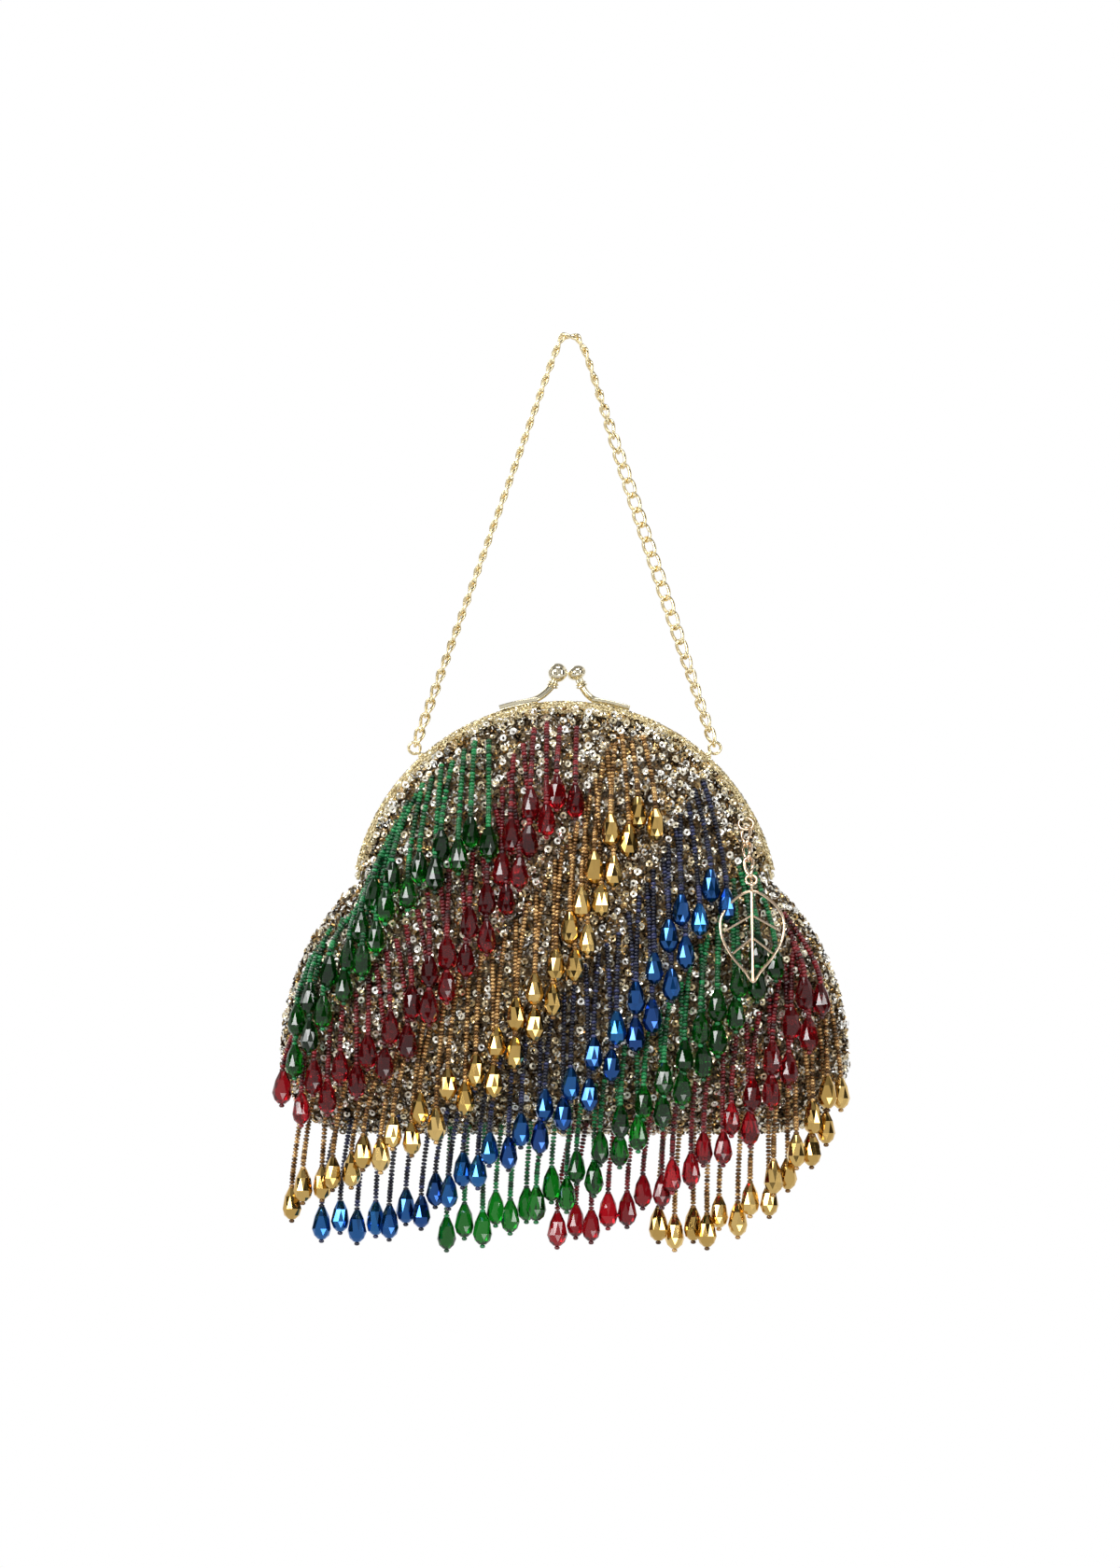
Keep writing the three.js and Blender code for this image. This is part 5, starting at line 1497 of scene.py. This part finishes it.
    def build_band(self, band: Band, strands: Sequence[Strand], threading: Growth,
                   setting: Growth) -> dict[str, bpy.types.Object]:
        """The strings, the drops and the stop beads of one band."""
        seed = 40 + BANDS.index(band)
        chance = np.random.default_rng(seed)
        beads, drops = BEADS_AND_PAINTED_HIGHLIGHTS[band.hue].mix(), DROPS[band.hue].mix()
        lines = [self.string(strand) for strand in strands]
        strings = threading.grow(line_object("strings", lines, self.rise), f"strings_{band.name}",
                                 Unit=self.bead(), Finish=beads, Pitch=self.pitch * MM,
                                 Smallest=self.bead_smallest, Wobble=self.bead_wobble, Seed=seed)
        hung, stops = [], []
        for strand, line in zip(strands, lines):
            lean = unit(line[-3] - line[-1]) * self.lean_share + Z_AXIS
            matrix = placed(strand.drop, lean, X_AXIS) @ turned(float(chance.uniform(0, 360 / self.facets)))
            size = float(chance.uniform(*self.size_range))
            hung.append(Setting(matrix, (size, size, size), strand.tone))
            foot = strand.drop - unit(lean) * (self.drop_half + self.stop_gap) * size
            stops.append(Setting(placed(foot, lean, X_AXIS), self.stop_size, strand.tone))
        return {
            "strings": strings,
            "drops": set_units(setting, self.cut_drop(), f"drops_{band.name}", drops, hung, self.rise),
            "stops": set_units(setting, self.bead(), f"stops_{band.name}", beads, stops, self.rise),
        }


# The studio


@dataclass(frozen=True)
class Softbox:
    """A rectangular light. Places are in metres."""

    name: str
    at: Triple
    size: Pair
    power: float


class Card(NamedTuple):
    """A black card that the metal mirrors, on a circle about the bag.

    azimuth and width are in degrees, from straight in front and positive to the right, and low and high in
    metres.
    """

    azimuth: float
    width: float
    low: float
    high: float


@dataclass(frozen=True)
class Studio:
    """The camera, the lights and the backdrop. Lengths are in metres unless they say millimetres."""

    aim: Triple = (-0.00192, 0.0, -0.1858)
    distance: float = 2.0
    view_height: float = 0.646
    sensor: float = 36.0  # millimetres
    photo: tuple[int, int] = (1200, 1680)
    floor: float = -1.5
    bowl_radius: float = 3.6
    bowl_top: float = 2.6
    bowl_corner: float = 0.9
    bowl_flat: float = 1.3
    surround: float = 0.72
    fade: Pair = (3.2, 0.25)  # metres of depth to a share of one, and the share at the bag
    backdrop: float = 1.0
    card_radius: float = 2.75
    softboxes: tuple[Softbox, ...] = (
        Softbox("key", (-1.05, -1.55, 0.75), (0.55, 0.8), 20.0),
        Softbox("left strip", (-1.9, -0.9, -0.1), (0.22, 1.5), 9.0),
        Softbox("right strip", (1.6, -1.3, 0.15), (0.25, 1.4), 10.0),
        Softbox("top", (0.1, -0.7, 1.5), (1.0, 0.5), 11.0),
        Softbox("low", (0.5, -1.7, -1.1), (0.8, 0.3), 4.0),
        Softbox("rim", (-0.9, 1.7, 0.8), (0.6, 1.2), 9.0),
    )
    cards: tuple[Card, ...] = (
        Card(17, 9, -0.8, 0.5), Card(-14, 7, -0.9, 0.4), Card(41, 14, -1.1, 0.9), Card(-36, 12, -1.1, 0.7),
        Card(75, 22, -1.1, 1.2), Card(0, 150, 2.05, 2.9),
        Card(-78, 24, -1.1, 1.2), Card(118, 16, -1.1, 0.9), Card(-120, 16, -1.1, 0.9), Card(14, 20, 1.0, 1.6),
        Card(-52, 26, 1.3, 1.9), Card(58, 18, 1.4, 2.0), Card(-8, 26, -1.35, -0.95))

    def camera(self) -> None:
        """Stands the camera straight in front."""
        data = bpy.data.cameras.new("camera")
        data.sensor_width = self.sensor
        data.lens = self.sensor * self.distance / self.view_height
        data.clip_end = 20.0
        made = linked("camera", data)
        made.location = (self.aim[0], self.aim[1] - self.distance, self.aim[2])
        made.rotation_euler = (math.pi / 2, 0, 0)
        bpy.context.scene.camera = made

    def lights(self) -> None:
        """Hangs the softboxes and sets the light of the room."""
        for box in self.softboxes:
            data = bpy.data.lights.new(box.name, "AREA")
            data.shape, data.size, data.size_y, data.energy = "RECTANGLE", *box.size, box.power
            made = linked(box.name, data)
            away = np.array(box.at) - np.array(self.aim)
            made.matrix_world = Matrix(placed(np.array(box.at), away, np.cross(Z_AXIS, away)).tolist())
            made.visible_camera = False
        world = bpy.data.worlds.new("room")
        world.use_nodes = True
        world.node_tree.nodes["Background"].inputs["Color"].default_value = (0.3, 0.3, 0.3, 1.0)
        bpy.context.scene.world = world

    def black_cards(self) -> bpy.types.Object:
        """The black cards, which only mirrors and glass see."""
        draft = Draft()
        for card in self.cards:
            angle = np.radians(card.azimuth - 90 + np.linspace(-0.5, 0.5, 9) * card.width)
            rings = [polar(self.card_radius, angle, z) for z in (card.low, card.high)]
            draft.add(np.concatenate(rings) / MM, [(i, i + 1, 10 + i, 9 + i) for i in range(8)])
        made = draft.build("black_cards", weld=False)
        black = Recipe("black card").dress(Base_Color=(0.04, 0.036, 0.03, 1), Roughness=1.0,
                                           Specular_IOR_Level=0.0)
        made.data.materials.append(black)
        made.visible_camera = made.visible_diffuse = made.visible_shadow = False
        return made

    def bowl(self) -> bpy.types.Object:
        """A round backdrop, white behind the bag and greyer in front of it, where the metal mirrors it."""
        turn = np.linspace(0, math.pi / 2, 9)
        corner = zip(self.bowl_radius - self.bowl_corner * (1 - np.sin(turn)),
                     self.floor + self.bowl_corner * (1 - np.cos(turn)))
        profile = [(0.001, self.floor), (self.bowl_flat, self.floor), *corner,
                   (self.bowl_radius, self.bowl_top)]
        draft = Draft().lathe(np.array(profile) / MM, 96, capped=False)
        made = draft.build("backdrop", weld=False, smooth=60)
        recipe = Recipe("backdrop")
        side = recipe.node("ShaderNodeSeparateXYZ", "Y", Vector=recipe.place())
        share = side * (1 / self.fade[0]) + self.fade[1]
        grey, white = (self.surround,) * 3, (self.backdrop,) * 3
        glow = recipe.node("ShaderNodeValToRGB", "Color", stops=((0.3, grey), (0.75, white)), Fac=share)
        recipe.dress(Base_Color=(0, 0, 0, 1), Roughness=1.0, Specular_IOR_Level=0.0, Emission_Color=glow,
                     Emission_Strength=1.0)
        made.data.materials.append(recipe.material)
        return made

    def build(self) -> tuple[bpy.types.Object, bpy.types.Object]:
        """Sets it all up and returns the backdrop and the cards."""
        self.camera()
        self.lights()
        scene = bpy.context.scene
        scene.render.resolution_x, scene.render.resolution_y = self.photo
        scene.view_settings.view_transform = "Standard"
        return self.bowl(), self.black_cards()


# The whole bag


class PotliBag:
    """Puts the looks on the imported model, piece by piece."""

    def __init__(self) -> None:
        """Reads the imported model."""
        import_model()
        self.packed_size = corners()
        _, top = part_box("frame_front")
        self.form = PouchForm()
        self.rise = top[2] / MM - self.form.top
        self.triangles = 0

    def put(self, made: bpy.types.Object, slot: str, finish: bpy.types.Material | Finish | None = None,
            *stands_for: str) -> None:
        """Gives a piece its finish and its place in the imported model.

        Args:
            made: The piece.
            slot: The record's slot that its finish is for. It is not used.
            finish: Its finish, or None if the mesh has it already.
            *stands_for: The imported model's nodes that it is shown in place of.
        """
        if finish is not None:
            made.data.materials.clear()
            made.data.materials.append(finish.mix() if isinstance(finish, Finish) else finish)
        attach(made, BODY)
        if stands_for:
            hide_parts(*stands_for)
        made.data.calc_loop_triangles()
        count = len(made.data.loop_triangles)
        self.triangles += count
        LOG.info("%s: %d triangles", made.name, count)

    def pouch(self) -> None:
        """The cloth and what is strewn over it."""
        pouch = Pouch(self.form, self.rise)
        self.put(pouch.cloth(), "sequin_cloth", CLOTH_AND_PAINTED_SHADE, "pouch")
        tree = scatter_tree()
        for face in Face:
            for made in pouch.strewn(face, tree):
                self.put(made, "sequins")

    def metalwork(self) -> None:
        """The frame, its hinges, the clasp, the ears, the chain and the charm."""
        frame = Frame(self.rise)
        tree = string_tree()
        for face in Face:
            name = face.name.lower()
            self.put(frame.half(face.value, f"frame_{name}_channel"), "frame_metal", LUREX, f"frame_{name}")
            self.put(frame.scales(face.value, tree), "frame_metal")
        for side in Side:
            name = side.name.lower()
            for maker, kind, slot, finish, node in (
                    (frame.rivet, "rivet", "clasp_metal", CLASP_PLATE, "hinge_rivet"),
                    (frame.clasp, "kiss_lock", "clasp_metal", CLASP_PLATE, "clasp"),
                    (frame.ear, "ear", "chain_metal", CHAIN_PLATE, "chain_ear")):
                self.put(maker(side.value, f"{kind}_{name}"), slot, finish, f"{node}_{name}")
        ears = [frame.ear_at(side.value) + (0, 0, self.rise) for side in Side]
        for strand, name in zip(Handle().strands(ears), ("chain_left", "chain_right")):
            self.put(strand, "chain_metal", CHAIN_PLATE, name)
        charm = Charm(self.form, self.rise, tuple(frame.eyelet_at()))
        self.put(charm.chain(), "charm_metal", ROSE_PLATE, "charm_chain")
        self.put(charm.leaf(), "charm_metal", ROSE_PLATE, "charm_leaf")

    def fringe(self) -> None:
        """The seven bands of beads."""
        fringe = Fringe(self.form, self.rise)
        strands = fringe.strands()
        threading, setting = string_tree(), setting_tree()
        for band in BANDS:
            own = [strand for strand in strands if strand.band is band]
            made = fringe.build_band(band, own, threading, setting)
            node = f"fringe_{band.name}"
            self.put(made["strings"], f"{band.hue.value}_beads", None, node)
            self.put(made["drops"], f"{band.hue.value}_drops", None, node)
            self.put(made["stops"], f"{band.hue.value}_beads")

    def build(self) -> None:
        """Builds every piece."""
        self.pouch()
        self.metalwork()
        self.fringe()
        LOG.info("whole bag: %d triangles", self.triangles)


def corners() -> list[list[float]]:
    """The lowest and the highest corner of what is shown, in metres."""
    return [list(corner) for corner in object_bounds()]


def main() -> None:
    """Builds the bag and its studio."""
    logging.basicConfig(level=logging.INFO, format="%(message)s")
    bag = PotliBag()
    bag.build()
    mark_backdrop(*Studio().build())


if __name__ == "__main__":
    main()
